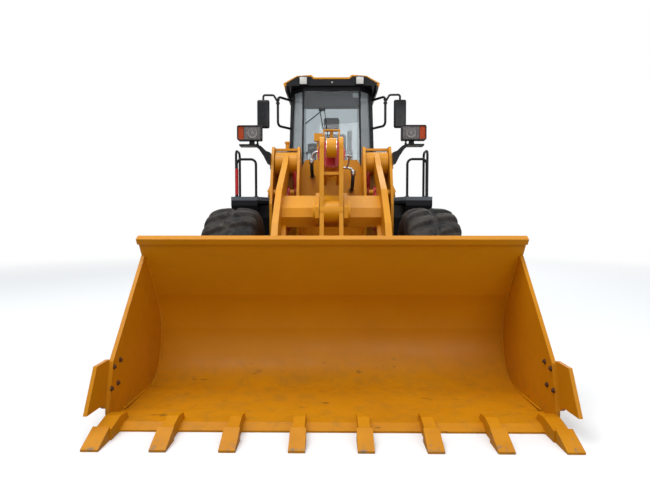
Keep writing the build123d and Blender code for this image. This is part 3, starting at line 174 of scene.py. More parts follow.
# Finishes
class Finish:
    """A node material for this machine, with short calls for the nodes it uses again and again."""

    def __init__(self, name, roughness, metallic=0.0, shine=0.5):
        self.material = bpy.data.materials.new(name)
        self.material.use_nodes = True
        self.tree = self.material.node_tree
        self.shader = self.tree.nodes["Principled BSDF"]
        self.shader.inputs["Roughness"].default_value = roughness
        self.shader.inputs["Metallic"].default_value = metallic
        self.shader.inputs["Specular IOR Level"].default_value = shine
        self.place = new_node(self.tree, "TexCoord").outputs["Object"]

    def link(self, source, target):
        self.tree.links.new(source, target)

    def scaled(self, factors, turn=(0.0, 0.0, 0.0)):
        """Object coordinates stretched by three factors and turned."""
        mapping = new_node(self.tree, "Mapping", Scale=factors, Rotation=turn)
        self.link(self.place, mapping.inputs["Vector"])
        return mapping.outputs[0]

    def noise(self, scale, detail=3.0, rough=0.55, place=None, warp=0.0):
        node = new_node(self.tree, "TexNoise", Scale=scale, Detail=detail, Roughness=rough, Distortion=warp)
        self.link(place or self.place, node.inputs["Vector"])
        return node.outputs["Fac"]

    def range(self, source, low, high, to_low=0.0, to_high=1.0, smooth=False):
        """source remapped from low..high to to_low..to_high and clamped."""
        node = new_node(self.tree, "MapRange", From_Min=low, From_Max=high, To_Min=to_low, To_Max=to_high)
        if smooth:
            node.interpolation_type = "SMOOTHSTEP"
        self.link(source, node.inputs["Value"])
        return node.outputs[0]

    def math(self, kind, first, second):
        node = new_node(self.tree, "Math", kind)
        for value, socket in ((first, node.inputs[0]), (second, node.inputs[1])):
            if isinstance(value, (int, float)):
                socket.default_value = value
            else:
                self.link(value, socket)
        return node.outputs[0]

    def mix(self, factor, first, second):
        """Colour first, turning to second as factor goes to one."""
        node = new_node(self.tree, "Mix")
        node.data_type = "RGBA"
        for value, socket in (
            (factor, node.inputs["Factor"]), (first, node.inputs[6]), (second, node.inputs[7]),
        ):
            if isinstance(value, (int, float)):
                socket.default_value = value
            elif isinstance(value, tuple):
                socket.default_value = (*value, 1.0)
            else:
                self.link(value, socket)
        return node.outputs[2]

    def axis(self, letter):
        node = new_node(self.tree, "SeparateXYZ")
        self.link(self.place, node.inputs[0])
        return node.outputs[letter]

    def bump(self, height, strength, distance):
        node = new_node(self.tree, "Bump", Strength=strength, Distance=distance)
        self.link(height, node.inputs["Height"])
        self.link(node.outputs[0], self.shader.inputs["Normal"])

    def colour(self, value):
        self.link(value, self.shader.inputs["Base Color"])

    def rough(self, value):
        self.link(value, self.shader.inputs["Roughness"])


DUST = (0.36, 0.27, 0.17)
YELLOW = (0.66, 0.278, 0.004)
YELLOW_DEEP = (0.58, 0.232, 0.003)
# the loader yellow darkened for the bucket and its teeth: painted shade for the bucket's inside, which lies
# in shade
SHADED_BUCKET_YELLOW = (0.56, 0.218, 0.002)
SHADED_BUCKET_DEEP = (0.49, 0.180, 0.002)


def paint(name, colour, deep, dust_up_to=0.5, dust=0.35, scratch=0.0, rough=0.36, coat=0.05, shine=0.25):
    """Sprayed enamel: broad drift between two tones, dust low down, fine scratches, faint orange peel."""
    made = Finish(name, rough, shine=shine)
    drift = made.range(made.noise(1.6, 4.0, 0.6), 0.3, 0.72)
    tone = made.mix(drift, colour, deep)
    film = made.range(made.noise(6.0, 6.0, 0.65), 0.42, 0.75)
    low = made.range(made.axis("Z"), 0.02, dust_up_to, 1.0, 0.0, smooth=True)
    settled = made.math("MULTIPLY", made.math("MULTIPLY", film, low), dust)
    tone = made.mix(settled, tone, DUST)
    if scratch:
        hair = made.noise(9.0, 8.0, 0.75, made.scaled((9.0, 1.3, 1.3), (0.2, 0.1, 0.35)))
        marks = made.range(hair, 0.655, 0.69, 0.0, scratch)
        tone = made.mix(marks, tone, (0.55, 0.42, 0.24))
    made.colour(tone)
    made.rough(made.range(made.noise(14.0, 4.0), 0.3, 0.7, rough - 0.05, rough + 0.13))
    made.shader.inputs["Coat Weight"].default_value = coat
    made.shader.inputs["Coat Roughness"].default_value = 0.22
    made.bump(made.noise(260.0, 2.0), 0.12, 0.0006)
    return made.material


def bucket_paint():
    """Loader enamel on the bucket, darker than on the frame as painted shade: long rubbed streaks up the
    back, grime and scuffs on the floor.
    """
    made = Finish("bucket_enamel", 0.4, shine=0.2)
    drift = made.range(made.noise(1.1, 4.0, 0.6), 0.3, 0.72)
    tone = made.mix(drift, SHADED_BUCKET_YELLOW, SHADED_BUCKET_DEEP)
    streaks = made.noise(5.0, 7.0, 0.7, made.scaled((0.35, 1.6, 2.4)))
    tone = made.mix(made.range(streaks, 0.56, 0.72, 0.0, 0.30), tone, (0.42, 0.17, 0.006))
    up = made.axis("Z")
    floor = made.range(up, 0.05, 0.30, 1.0, 0.0, smooth=True)
    grime = made.range(made.noise(7.5, 9.0, 0.72, warp=0.6), 0.47, 0.68)
    specks = made.range(made.noise(48.0, 5.0, 0.8), 0.64, 0.70)
    smudges = made.range(made.noise(9.0, 4.0, 0.6, made.scaled((0.55, 1.5, 1.5))), 0.66, 0.70)
    for mask, strength, colour in (
        (grime, 0.42, (0.26, 0.13, 0.02)),
        (specks, 0.9, (0.045, 0.03, 0.018)),
        (smudges, 0.6, (0.10, 0.045, 0.012)),
    ):
        tone = made.mix(made.math("MULTIPLY", made.math("MULTIPLY", mask, floor), strength), tone, colour)
    hair = made.noise(12.0, 8.0, 0.75, made.scaled((7.0, 1.0, 1.1), (0.0, 0.3, 0.2)))
    tone = made.mix(made.range(hair, 0.66, 0.70, 0.0, 0.35), tone, (0.60, 0.36, 0.10))
    made.colour(tone)
    made.rough(made.range(made.noise(10.0, 5.0), 0.3, 0.7, 0.34, 0.55))
    made.shader.inputs["Coat Weight"].default_value = 0.03
    made.shader.inputs["Coat Roughness"].default_value = 0.3
    fine = made.math("MULTIPLY", made.noise(180.0, 3.0), 0.05)
    made.bump(made.math("ADD", made.noise(3.2, 3.0), fine), 0.22, 0.01)
    return made.material


def tooth_paint():
    """Enamel on cast teeth, rubbed to dull metal at the tips."""
    made = Finish("tooth_enamel", 0.42, shine=0.2)
    drift = made.range(made.noise(7.0, 5.0, 0.65), 0.35, 0.7)
    tone = made.mix(drift, SHADED_BUCKET_YELLOW, SHADED_BUCKET_DEEP)
    forward = made.range(made.axis("Y"), -3.975, -3.86, 1.0, 0.0, smooth=True)
    worn = made.math("ADD", made.math("MULTIPLY", forward, 0.14), made.noise(26.0, 7.0, 0.7))
    rubbed = made.range(worn, 0.62, 0.80)
    tone = made.mix(rubbed, tone, (0.20, 0.15, 0.10))
    made.colour(tone)
    made.rough(made.range(rubbed, 0.0, 1.0, 0.42, 0.6))
    made.bump(made.noise(70.0, 5.0, 0.7), 0.35, 0.0025)
    return made.material


def rubber(name, grey, dust):
    """Black rubber with a brown film of road dust in broad patches."""
    made = Finish(name, 0.78, shine=0.2)
    film = made.range(made.noise(5.0, 7.0, 0.7), 0.42, 0.72, 0.0, dust)
    made.colour(made.mix(film, (grey, grey, grey * 1.03), (0.16, 0.13, 0.10)))
    made.rough(made.range(made.noise(22.0, 4.0), 0.3, 0.7, 0.66, 0.9))
    made.bump(made.noise(120.0, 5.0, 0.7), 0.25, 0.002)
    return made.material


def metal(name, colour, rough, grain=(1.0, 1.0, 1.0), strength=0.15):
    """Bare metal with a grain along one direction and slight staining."""
    made = Finish(name, rough, 1.0)
    stain = made.range(made.noise(9.0, 6.0, 0.7), 0.45, 0.75, 0.0, 0.5)
    made.colour(made.mix(stain, colour, tuple(c * 0.55 for c in colour)))
    made.rough(made.range(made.noise(30.0, 4.0), 0.3, 0.7, rough * 0.75, rough * 1.3))
    made.bump(made.noise(90.0, 3.0, 0.6, made.scaled(grain)), strength, 0.001)
    return made.material


def plastic(name, colour, rough, texture=240.0):
    """Moulded plastic with a fine leather-like grain."""
    made = Finish(name, rough, shine=0.2)
    film = made.range(made.noise(4.0, 5.0), 0.35, 0.75, 0.0, 0.6)
    made.colour(made.mix(film, colour, tuple(c * 1.5 + 0.012 for c in colour)))
    made.rough(made.range(made.noise(12.0, 4.0), 0.3, 0.7, rough - 0.06, rough + 0.1))
    made.bump(made.noise(texture, 3.0, 0.6), 0.22, 0.0008)
    return made.material


def glass(name, tint, sheen, corner_sheen):
    """Window glass with patches of dust. Sheen is the sky's light on it, more on the corner panes."""
    rough = 0.015
    dust = 0.06
    made = Finish(name, rough)
    outward = made.math("ABSOLUTE", made.axis("X"), 0.0)
    clear = made.range(outward, 0.425, 0.435, 1.0 - sheen, 1.0 - corner_sheen)
    made.link(clear, made.shader.inputs["Transmission Weight"])
    made.shader.inputs["IOR"].default_value = 1.45
    film = made.range(made.noise(7.0, 6.0, 0.7), 0.5, 0.8, 0.0, dust)
    made.colour(made.mix(film, tint, tuple(c * 0.8 for c in tint)))
    made.rough(made.range(made.noise(5.0, 5.0), 0.4, 0.8, rough, rough + 0.05))
    return made.material


def deck_black_painted_sky_band():
    """Black on the decks and on the mudguards that hang from them; grey above 1.640 m, painted sky light on
    the decks' upper faces and edges.
    """
    made = Finish("deck_black_painted_sky_band", 0.5, shine=0.15)
    drift = made.range(made.noise(3.0, 5.0, 0.6), 0.35, 0.72)
    tone = made.mix(drift, (0.095, 0.112, 0.130), (0.130, 0.148, 0.166))
    # painted sky light: grey above 1.640 m, black below
    top = made.math("GREATER_THAN", made.axis("Z"), 1.640)
    made.colour(made.mix(top, (0.006, 0.006, 0.008), tone))
    made.bump(made.noise(60.0, 3.0), 0.3, 0.002)
    return made.material


def roof_paint():
    """Loader enamel outside; its inner faces and underside are painted black as painted shade, told apart by
    place.
    """
    made = Finish("roof_enamel", 0.36, shine=0.25)
    tone = made.mix(made.range(made.noise(1.6, 4.0, 0.6), 0.3, 0.72), YELLOW, YELLOW_DEEP)
    # painted shade: black on the inner faces and underside of the roof's lip
    inward = made.math("LESS_THAN", made.math("ABSOLUTE", made.axis("X"), 0.0), 0.668)
    painted_shade_below = made.math("LESS_THAN", made.axis("Z"), 3.3015)
    made.colour(made.mix(made.math("MULTIPLY", inward, painted_shade_below), tone, (0.012, 0.012, 0.013)))
    made.bump(made.noise(260.0, 2.0), 0.12, 0.0006)
    return made.material


place_camera()
light_the_scene()
lay_floor()

FINISH = {
    "roof": roof_paint(),
    "yellow": paint("loader_enamel", YELLOW, YELLOW_DEEP, scratch=0.25),
    "bucket": bucket_paint(),
    "tooth": tooth_paint(),
    "casting": paint(
        "casting_enamel", (0.58, 0.22, 0.008), (0.42, 0.16, 0.008), 1.1, 0.8, rough=0.55, coat=0.0,
    ),
    "dark": paint(
        "frame_black", (0.010, 0.0105, 0.012), (0.018, 0.0185, 0.020), 1.0, 0.3, rough=0.36, coat=0.0,
        shine=0.12,
    ),
    "deck": deck_black_painted_sky_band(),
    "red": paint(
        "cylinder_enamel", (0.48, 0.018, 0.022), (0.34, 0.012, 0.015), 0.3, 0.1, rough=0.28, coat=0.5,
    ),
    "pin": paint("pin_enamel", YELLOW, YELLOW_DEEP, rough=0.45, coat=0.0),
    "chrome": metal("rod_chrome", (0.78, 0.78, 0.80), 0.12, strength=0.02),
    "steel": metal("bright_steel", (0.46, 0.45, 0.44), 0.34, (1.0, 8.0, 8.0)),
    "tyre": rubber("tyre_black", 0.017, 0.42),
    "hose": rubber("hose_black", 0.016, 0.2),
    "plastic": plastic("moulded_black", (0.016, 0.0165, 0.018), 0.42),
    "seat": plastic("seat_cloth", (0.030, 0.031, 0.036), 0.85, 420.0),
    "glass": glass("cab_glass", (0.64, 0.69, 0.71), sheen=0.04, corner_sheen=0.36),
    "door_glass": glass("door_glass", (0.68, 0.74, 0.75), sheen=0.03, corner_sheen=0.03),
    "mirror": metal("mirror_face", (0.80, 0.81, 0.83), 0.05, strength=0.0),
    "shell": plastic("gloss_black", (0.008, 0.0085, 0.010), 0.22, 60.0),
    "red_tape": plastic("red_sleeve", (0.42, 0.012, 0.016), 0.35, 120.0),
    "red_lens": plastic("red_lens", (0.30, 0.008, 0.008), 0.2, 60.0),
    "pale": plastic("pale_plate", (0.46, 0.50, 0.50), 0.5, 200.0),
    "reflector": metal("lamp_reflector", (0.13, 0.12, 0.118), 0.42, (1.0, 5.0, 1.0), 0.6),
    "bowl": plastic("lamp_bowl", (0.20, 0.19, 0.185), 0.25, 70.0),
    "lens_frost": plastic("frosted_lens", (0.50, 0.49, 0.46), 0.25, 90.0),
    "amber": plastic("amber_lens", (0.36, 0.045, 0.006), 0.25, 60.0),
    "steel_worn": metal("bolt_steel", (0.30, 0.27, 0.24), 0.5, strength=0.3),
    "rusty": paint("rusty_iron", (0.12, 0.040, 0.014), (0.06, 0.022, 0.010), 0.1, 0.2, rough=0.7, coat=0.0),
    "iron": paint("engine_iron", (0.10, 0.10, 0.11), (0.06, 0.06, 0.065), 1.6, 0.5, rough=0.6, coat=0.0),
}

NODE_FINISH = {
    "yellow": "rear_frame front_frame engine_hood counterweight rear_fenders boom bellcrank bucket_link"
    " rim_front_left rim_front_right rim_rear_left rim_rear_right",
    "bucket": "bucket cutting_edge",
    "tooth": "bucket_teeth",
    "casting": "front_axle rear_axle",
    "roof": "cab_roof",
    "dark": "cab_shell door_left door_right lamp_brackets handrails ladders tanks"
    " exhaust_and_intake headlamps work_lamps radiator_grille",
    "deck": "decks",
    "red": "tilt_barrel lift_barrel_left lift_barrel_right steer_barrel_left steer_barrel_right",
    "chrome": "tilt_rod lift_rod_left lift_rod_right steer_rod_left steer_rod_right",
    "pin": "bucket_pins crank_pin link_pin tilt_base_pin",
    "tyre": "tyre_front_left tyre_front_right tyre_rear_left tyre_rear_right",
    "plastic": "steering_column mirrors rear_lamps",
    "seat": "operator_seat",
    "glass": "cab_glass",
    "door_glass": "door_glass_left door_glass_right",
    "iron": "engine_block",
}

for kind, names in NODE_FINISH.items():
    for name in names.split():
        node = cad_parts[name]
        node.data.materials.clear()
        node.data.materials.append(FINISH[kind])


# Surfaces
def at(x, back, up):
    """A point given across, behind the front axle and up, in the frame."""
    return (x, FRONT_AXLE_Y + back, up)


def put(name, points, faces, finish, body, smooth=True, replaces=None):
    """A mesh from points (n, 3) and quads (m, 4), with its finish, riding on a body if one is given."""
    mesh = bpy.data.meshes.new(name)
    mesh.vertices.add(len(points))
    mesh.vertices.foreach_set("co", np.ascontiguousarray(points, np.float32).ravel())
    mesh.loops.add(faces.size)
    mesh.loops.foreach_set("vertex_index", np.ascontiguousarray(faces, np.int32).ravel())
    mesh.polygons.add(len(faces))
    mesh.polygons.foreach_set("loop_start", np.arange(0, faces.size, faces.shape[1], dtype=np.int32))
    mesh.update(calc_edges=True)
    mesh.validate()
    if smooth:
        mesh.shade_smooth()
        mesh.set_sharp_from_angle(angle=math.radians(38))
    mesh.materials.append(FINISH[finish])
    piece = bpy.data.objects.new(name, mesh)
    bpy.context.scene.collection.objects.link(piece)
    if body:
        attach(piece, body)
    if replaces:
        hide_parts(*replaces)
    return piece


def grid_faces(rows, columns, close_rows=False, close_columns=False):
    """Quads over a grid of rows by columns, joined round where it closes on itself."""
    r = np.arange(rows if close_rows else rows - 1)
    c = np.arange(columns if close_columns else columns - 1)
    row, column = np.meshgrid(r, c, indexing="ij")
    below = (row + 1) % rows
    beside = (column + 1) % columns
    quads = np.stack(
        [row * columns + column, row * columns + beside, below * columns + beside, below * columns + column],
        -1,
    )
    return quads.reshape(-1, 4)


def joined(parts):
    """Several (points, quads) pairs as one pair."""
    points, faces, start = [], [], 0
    for part, quads in parts:
        points.append(part)
        faces.append(quads + start)
        start += len(part)
    return np.concatenate(points), np.concatenate(faces)


def along_axis(points, axis, centre):
    """Points made about +Z turned so that Z runs along axis, then moved to centre."""
    way = np.array(axis, float)
    way = way / np.linalg.norm(way)
    help_way = np.array((0.0, 0.0, 1.0)) if abs(way[2]) < 0.9 else np.array((1.0, 0.0, 0.0))
    across = np.cross(help_way, way)
    across /= np.linalg.norm(across)
    up = np.cross(way, across)
    return points @ np.stack([across, up, way]) + np.array(centre, float)


def turned(profile, axis, centre, steps=40):
    """A profile of (radius, height) points swept round an axis: x = r cos a, y = r sin a, z = height.
    The profile runs so that its solid side is on its left."""
    profile = np.array(profile, float)
    angle = np.linspace(0, TAU, steps, endpoint=False)
    radius = profile[:, 0][:, None]
    height = np.broadcast_to(profile[:, 1][:, None], (len(profile), steps))
    ring = np.stack([radius * np.cos(angle), radius * np.sin(angle), height], -1)
    faces = grid_faces(len(profile), steps, close_columns=True)[:, ::-1]
    return along_axis(ring.reshape(-1, 3), axis, centre), faces


def button(radius, height, axis, centre, steps=20, edge=0.12):
    """A low round head: flat top, rounded rim, straight side, open below."""
    e = edge * radius
    return turned(
        [
            (radius, 0), (radius, height - e), (radius - 0.3 * e, height - 0.3 * e), (radius - e, height),
            (POLE, height),
        ],
        axis, centre, steps,
    )


def hexagon(radius, height, axis, centre):
    """A hexagon head with a chamfered top: a profile turned in six steps."""
    return turned(
        [(radius, 0), (radius, height * 0.8), (radius * 0.86, height), (POLE, height)], axis, centre, 6,
    )


def smooth_path(knots, count):
    """Catmull-Rom through the knots, sampled evenly by parameter."""
    knots = np.array(knots, float)
    padded = np.concatenate([[2 * knots[0] - knots[1]], knots, [2 * knots[-1] - knots[-2]]])
    t = np.linspace(0, len(knots) - 1 - 1e-9, count)
    i = t.astype(int)
    f = (t - i)[:, None]
    a, b, c, d = padded[i], padded[i + 1], padded[i + 2], padded[i + 3]
    return 0.5 * (
        2 * b + (c - a) * f + (2 * a - 5 * b + 4 * c - d) * f ** 2 + (3 * b - a - 3 * c + d) * f ** 3
    )


def pipe(path, radius, steps=12, caps=True):
    """A tube about a path of points: at each the ring lies across the path, carried along without twist."""
    path = np.array(path, float)
    way = np.gradient(path, axis=0)
    way /= np.linalg.norm(way, axis=1)[:, None]
    side = np.zeros_like(way)
    first = np.cross(way[0], (0.31, 0.22, 0.93))
    side[0] = first / np.linalg.norm(first)
    for k in range(1, len(path)):
        carried = side[k - 1] - way[k] * np.dot(side[k - 1], way[k])
        side[k] = carried / np.linalg.norm(carried)
    other = np.cross(way, side)
    radii = np.broadcast_to(np.array(radius, float), (len(path),)).copy()
    if caps:
        path = np.concatenate([path[:1], path, path[-1:]])
        side = np.concatenate([side[:1], side, side[-1:]])
        other = np.concatenate([other[:1], other, other[-1:]])
        radii = np.concatenate([[0.0003], radii, [0.0003]])
    angle = np.linspace(0, TAU, steps, endpoint=False)
    ring = path[:, None] + radii[:, None, None] * (
        side[:, None] * np.cos(angle)[None, :, None] + other[:, None] * np.sin(angle)[None, :, None]
    )
    return ring.reshape(-1, 3), grid_faces(len(path), steps, close_columns=True)


def rounded_path(corners, bend, steps=7):
    """A line through corners, each rounded by an arc of radius bend that touches both of its sides."""
    corners = [np.array(corner, float) for corner in corners]
    line = [corners[0]]
    for before, corner, after in zip(corners, corners[1:], corners[2:]):
        back = (before - corner) / np.linalg.norm(before - corner)
        ahead = (after - corner) / np.linalg.norm(after - corner)
        half_angle = math.acos(float(back @ ahead)) / 2
        inward = (back + ahead) / np.linalg.norm(back + ahead)
        middle = corner + inward * bend / math.sin(half_angle)
        first = corner + back * bend / math.tan(half_angle) - middle
        last = corner + ahead * bend / math.tan(half_angle) - middle
        sweep = math.pi - 2 * half_angle
        for t in np.linspace(0, 1, steps):
            line.append(
                middle + (math.sin((1 - t) * sweep) * first + math.sin(t * sweep) * last) / math.sin(sweep)
            )
    line.append(corners[-1])
    return np.array(line)


def soft_box(low, high, radius, steps=5):
    """A box with rounded edges: a sphere's points, each pushed out to its own corner's centre.
    The sphere is a grid in longitude and latitude with doubled lines where a flat face spans."""
    low, high = np.array(low, float), np.array(high, float)
    middle, half = (low + high) / 2, (high - low) / 2 - radius
    quarter = np.linspace(0, math.pi / 2, steps)
    longitude = np.concatenate([quarter + k * math.pi / 2 for k in range(4)])
    latitude = np.concatenate([quarter - math.pi / 2, quarter])
    lon_sign_x = np.repeat([1, -1, -1, 1], steps)
    lon_sign_y = np.repeat([1, 1, -1, -1], steps)
    lat_sign = np.repeat([-1, 1], steps)
    cos_lat, sin_lat = np.cos(latitude)[:, None], np.sin(latitude)[:, None]
    x = cos_lat * np.cos(longitude)[None] * radius + lon_sign_x[None] * half[0]
    y = cos_lat * np.sin(longitude)[None] * radius + lon_sign_y[None] * half[1]
    z = np.broadcast_to(sin_lat * radius + (lat_sign * half[2])[:, None], x.shape)
    points = np.stack([x, y, z], -1)
    bottom = points[:1].mean(1, keepdims=True)
    top = points[-1:].mean(1, keepdims=True)
    count = len(longitude)
    points = np.concatenate(
        [np.broadcast_to(bottom, (1, count, 3)), points, np.broadcast_to(top, (1, count, 3))]
    )
    return points.reshape(-1, 3) + middle, grid_faces(len(points), count, close_columns=True)


def rounded_frame(middle, half, corner, near, far, thick):
    """A picture frame in the X-Z plane: a rounded rectangle loop whose own section is a rounded bar.
    The loop is points (x, z) of a rectangle with round corners; the section turns round it once."""
    steps = 8
    quarter = np.linspace(0, math.pi / 2, steps)
    loop = []
    for k, (sx, sz) in enumerate(((1, 1), (-1, 1), (-1, -1), (1, -1))):
        angle = quarter + k * math.pi / 2
        loop.append(
            np.stack(
                [
                    sx * (half[0] - corner) + corner * np.cos(angle),
                    sz * (half[1] - corner) + corner * np.sin(angle), np.cos(angle), np.sin(angle),
                ],
                -1,
            )
        )
    loop = np.concatenate(loop)
    depth = (far - near) / 2
    r = min(thick / 2, depth) * 0.8
    section = []
    for k, (sa, sb) in enumerate(((1, 1), (-1, 1), (-1, -1), (1, -1))):
        angle = np.linspace(0, math.pi / 2, 4) + k * math.pi / 2
        section.append(
            np.stack([sa * (thick / 2 - r) + r * np.cos(angle), sb * (depth - r) + r * np.sin(angle)], -1)
        )
    section = np.concatenate(section)
    out = loop[:, None, :2] + (section[None, :, 0:1] - thick / 2) * loop[:, None, 2:]
    back = np.broadcast_to((near + far) / 2 - section[None, :, 1], out.shape[:2])
    points = np.stack([out[..., 0] + middle[0], FRONT_AXLE_Y + back, out[..., 1] + middle[1]], -1)
    faces = grid_faces(len(loop), len(section), close_rows=True, close_columns=True)[:, ::-1]
    return points.reshape(-1, 3), faces


def ribbed_panel(x_range, z_range, back, depth, ribs, thick=0.002):
    """An upright panel facing forwards, whose front is back less depth times a row of ribs along z."""
    columns = ribs * 8 + 1
    x = np.linspace(x_range[0], x_range[1], columns)
    wave = np.abs(np.sin(np.linspace(0, math.pi * ribs, columns)))
    z = np.array([z_range[0], z_range[0] + 0.003, z_range[1] - 0.003, z_range[1]])
    lift = np.array([0.0, 1.0, 1.0, 0.0])
    y = FRONT_AXLE_Y + back - depth * lift[:, None] * wave[None, :] ** 0.7
    front = np.stack([np.broadcast_to(x, y.shape), y, np.broadcast_to(z[:, None], y.shape)], -1)
    rear = front.copy()
    rear[..., 1] = FRONT_AXLE_Y + back + thick
    shell = np.concatenate([rear[:1], front, rear[-1:]])
    return shell.reshape(-1, 3), grid_faces(len(shell), columns)


def ribbed_panel_rear(x_range, z_range, back, depth, ribs):
    """The same panel turned to face rearwards."""
    points, faces = ribbed_panel(x_range, z_range, back, depth, ribs)
    turned_points = points.copy()
    turned_points[:, 1] = 2 * (FRONT_AXLE_Y + back) - points[:, 1]
    return turned_points, faces[:, ::-1]


# Tyres
TYRE_RADIUS = 0.750
TYRE_HALF = 0.270
LUG_DEPTH = 0.040
LUG_PAIRS = 22
LUG_FOOT = 0.592
HALF_TRACK = 1.04
WHEELBASE = 3.2


def tyre_surface():
    """A rock tyre about X. The section is a line (radius, x) from bead to bead; tread lugs add to the radius
    where two smooth steps, one across the tread and one round it, are both high. Lugs slant and alternate
    by half a pitch."""
    base = np.array([
        (0.318, -0.196), (0.345, -0.202), (0.372, -0.216), (0.398, -0.238), (0.432, -0.254), (0.480, -0.264),
        (0.530, -0.268), (0.580, -0.267), (0.622, -0.260), (0.652, -0.248), (0.675, -0.228), (0.692, -0.196),
        (0.703, -0.152), (0.708, -0.102), (0.711, -0.050), (0.712, 0.0),
    ])
    half = smooth_path(base, 46)
    section = np.concatenate([half, half[-2::-1] * (1, -1)])
    radius, x = section[:, 0], section[:, 1]
    steps = LUG_PAIRS * 20
    angle = np.linspace(0, TAU, steps, endpoint=False)
    pitch = TAU / LUG_PAIRS
    across = np.abs(x)[None, :] / TYRE_HALF
    slant = 0.50 * pitch * (np.clip(across, 0, 1) - 0.5) * np.sign(x)[None, :]
    stagger = np.where(x[None, :] > 0, 0.5 * pitch, 0.0)
    phase = np.abs(((angle[:, None] - slant - stagger) / pitch + 0.5) % 1.0 - 0.5)
    width = 0.285 - 0.05 * across
    block = 1.0 - 1.0 / (1.0 + np.exp(-(phase - width) / 0.018))
    start = 1.0 / (1.0 + np.exp(-(across - 0.08) / 0.018))
    out = 1.0 / (1.0 + np.exp(-(radius[None, :] - LUG_FOOT) / 0.010))
    fade = np.clip((radius[None, :] - LUG_FOOT) / 0.12, 0.0, 1.0) ** 0.6
    lug = block * start * out
    crown = np.minimum(LUG_DEPTH * (0.35 + 0.65 * fade), TYRE_RADIUS - radius[None, :])
    full_radius = radius[None, :] + lug * crown
    full_x = x[None, :] + lug * np.sign(x)[None, :] * 0.004 * (across > 0.8)
    full_x = np.clip(full_x, -TYRE_HALF, TYRE_HALF)
    points = np.stack(
        [full_x, full_radius * np.sin(angle)[:, None], full_radius * np.cos(angle)[:, None]], -1,
    )
    return points.reshape(-1, 3), grid_faces(steps, len(x), close_rows=True)


WHEELS = (
    ("front_left", HALF_TRACK, 0.0), ("front_right", -HALF_TRACK, 0.0),
    ("rear_left", HALF_TRACK, WHEELBASE), ("rear_right", -HALF_TRACK, WHEELBASE),
)


def dress_wheels():
    """Detailed tyres, two rings of nuts on the rim, a stepped hub cap and the rim's lock ring."""
    points, faces = tyre_surface()
    for name, x, back in WHEELS:
        side = 1.0 if x > 0 else -1.0
        centre = np.array(at(x, back, TYRE_RADIUS))
        flip = np.array((side, side, 1.0))
        put(
            f"tyre_{name}_tread", points * flip + centre, faces, "tyre", f"wheel_{name}",
            replaces=[f"tyre_{name}"],
        )
        parts = []
        face = side * 0.060
        for k in range(20):
            a = TAU * k / 20
            spot = centre + (face, 0.262 * math.sin(a), 0.262 * math.cos(a))
            parts.append(button(0.021, 0.006, (side, 0, 0), spot, 12))
            parts.append(hexagon(0.016, 0.024, (side, 0, 0), spot + (side * 0.005, 0, 0)))
        for k in range(12):
            a = TAU * (k + 0.5) / 12
            spot = centre + (side * 0.130, 0.195 * math.sin(a), 0.195 * math.cos(a))
            parts.append(hexagon(0.012, 0.014, (side, 0, 0), spot))
        put(f"nuts_{name}", *joined(parts), "steel", f"wheel_{name}", smooth=False)
        cap = turned(
            [(0.150, 0.0), (0.150, 0.012), (0.135, 0.020), (0.118, 0.021), (0.110, 0.034), (POLE, 0.040)],
            (side, 0, 0), centre + (side * 0.163, 0, 0), 48,
        )
        put(f"hub_cap_{name}", *cap, "yellow", f"wheel_{name}")
        ring = turned(
            [(0.357, 0.0), (0.357, 0.012), (0.349, 0.020), (0.338, 0.020), (0.332, 0.012), (0.332, 0.0)],
            (side, 0, 0), centre + (side * 0.205, 0, 0), 72,
        )
        put(f"lock_ring_{name}", *ring, "yellow", f"wheel_{name}")


# Lamps
HEADLAMP_X = 0.984
HEADLAMP_UP = 2.4125
HEADLAMP_BACK = 0.600
WORK_LAMP_X = 0.405
WORK_LAMP_UP = 3.363


def dress_lamps():
    """Headlamps: case, rim, ribbed pane with a bowl and an amber indicator. Work lamps: pane and rim."""
    for label, side in SIDES:
        x, z = side * HEADLAMP_X, HEADLAMP_UP
        front = HEADLAMP_BACK
        case = soft_box(at(x - 0.146, front + 0.020, z - 0.088), at(x + 0.146, 0.731, z + 0.088), 0.018)
        rim = rounded_frame((x, z), (0.148, 0.090), 0.024, front - 0.006, front + 0.024, 0.013)
        put(f"headlamp_case_{label}", *joined([case, rim]), "plastic", FRONT, replaces=["headlamps"])
        split = x + side * 0.066
        clear = sorted((x - side * 0.136, split))
        amber = sorted((split + side * 0.004, x + side * 0.136))
        put(
            f"headlamp_glass_{label}", *ribbed_panel(clear, (z - 0.078, z + 0.078), front + 0.012, 0.004, 11),
            "reflector", FRONT,
        )
        bowl = turned(
            [(0.062, 0.0), (0.060, 0.005), (0.050, 0.002), (0.030, -0.002), (0.018, 0.001), (POLE, 0.006)],
            (0, -1, 0), at(sum(clear) / 2, front + 0.010, z), 36,
        )
        put(f"headlamp_bowl_{label}", *bowl, "bowl", FRONT)
        put(
            f"indicator_{label}", *ribbed_panel(amber, (z - 0.078, z + 0.078), front + 0.010, 0.0035, 5),
            "amber", FRONT,
        )
        posts = []
        for px, radius in ((x - side * 0.020, 0.036), (x - side * 0.085, 0.016)):
            post = [(radius, 0.0), (radius, 0.010), (radius * 0.8, 0.016), (POLE, 0.016)]
            foot = at(px, 0.680 if radius > 0.02 else 0.700, 2.2855)
            posts.append(turned(post, UPWARDS, foot, 20))
        put(f"headlamp_foot_{label}", *joined(posts), "plastic", FRONT)
    for x in (-WORK_LAMP_X, WORK_LAMP_X):
        side = "left" if x > 0 else "right"
        for end, face, way in (("front", 1.836, 1), ("rear", 3.274, -1)):
            low, high = sorted((face - way * 0.003, face + way * 0.004))
            put(
                f"work_lens_{end}_{side}",
                *soft_box(at(x - 0.051, low, 3.312), at(x + 0.051, high, 3.414), 0.003, 3),
                "lens_frost", REAR,
            )
            put(
                f"work_rim_{end}_{side}",
                *rounded_frame(
                    (x, WORK_LAMP_UP), (0.061, 0.061), 0.014,
                    *sorted((face - way * 0.006, face + way * 0.014)), 0.009,
                ),
                "plastic", REAR,
            )


# Hoses, pipes and fittings
COLLAR = 1.35
LIFT_CYLINDER_X = 0.56


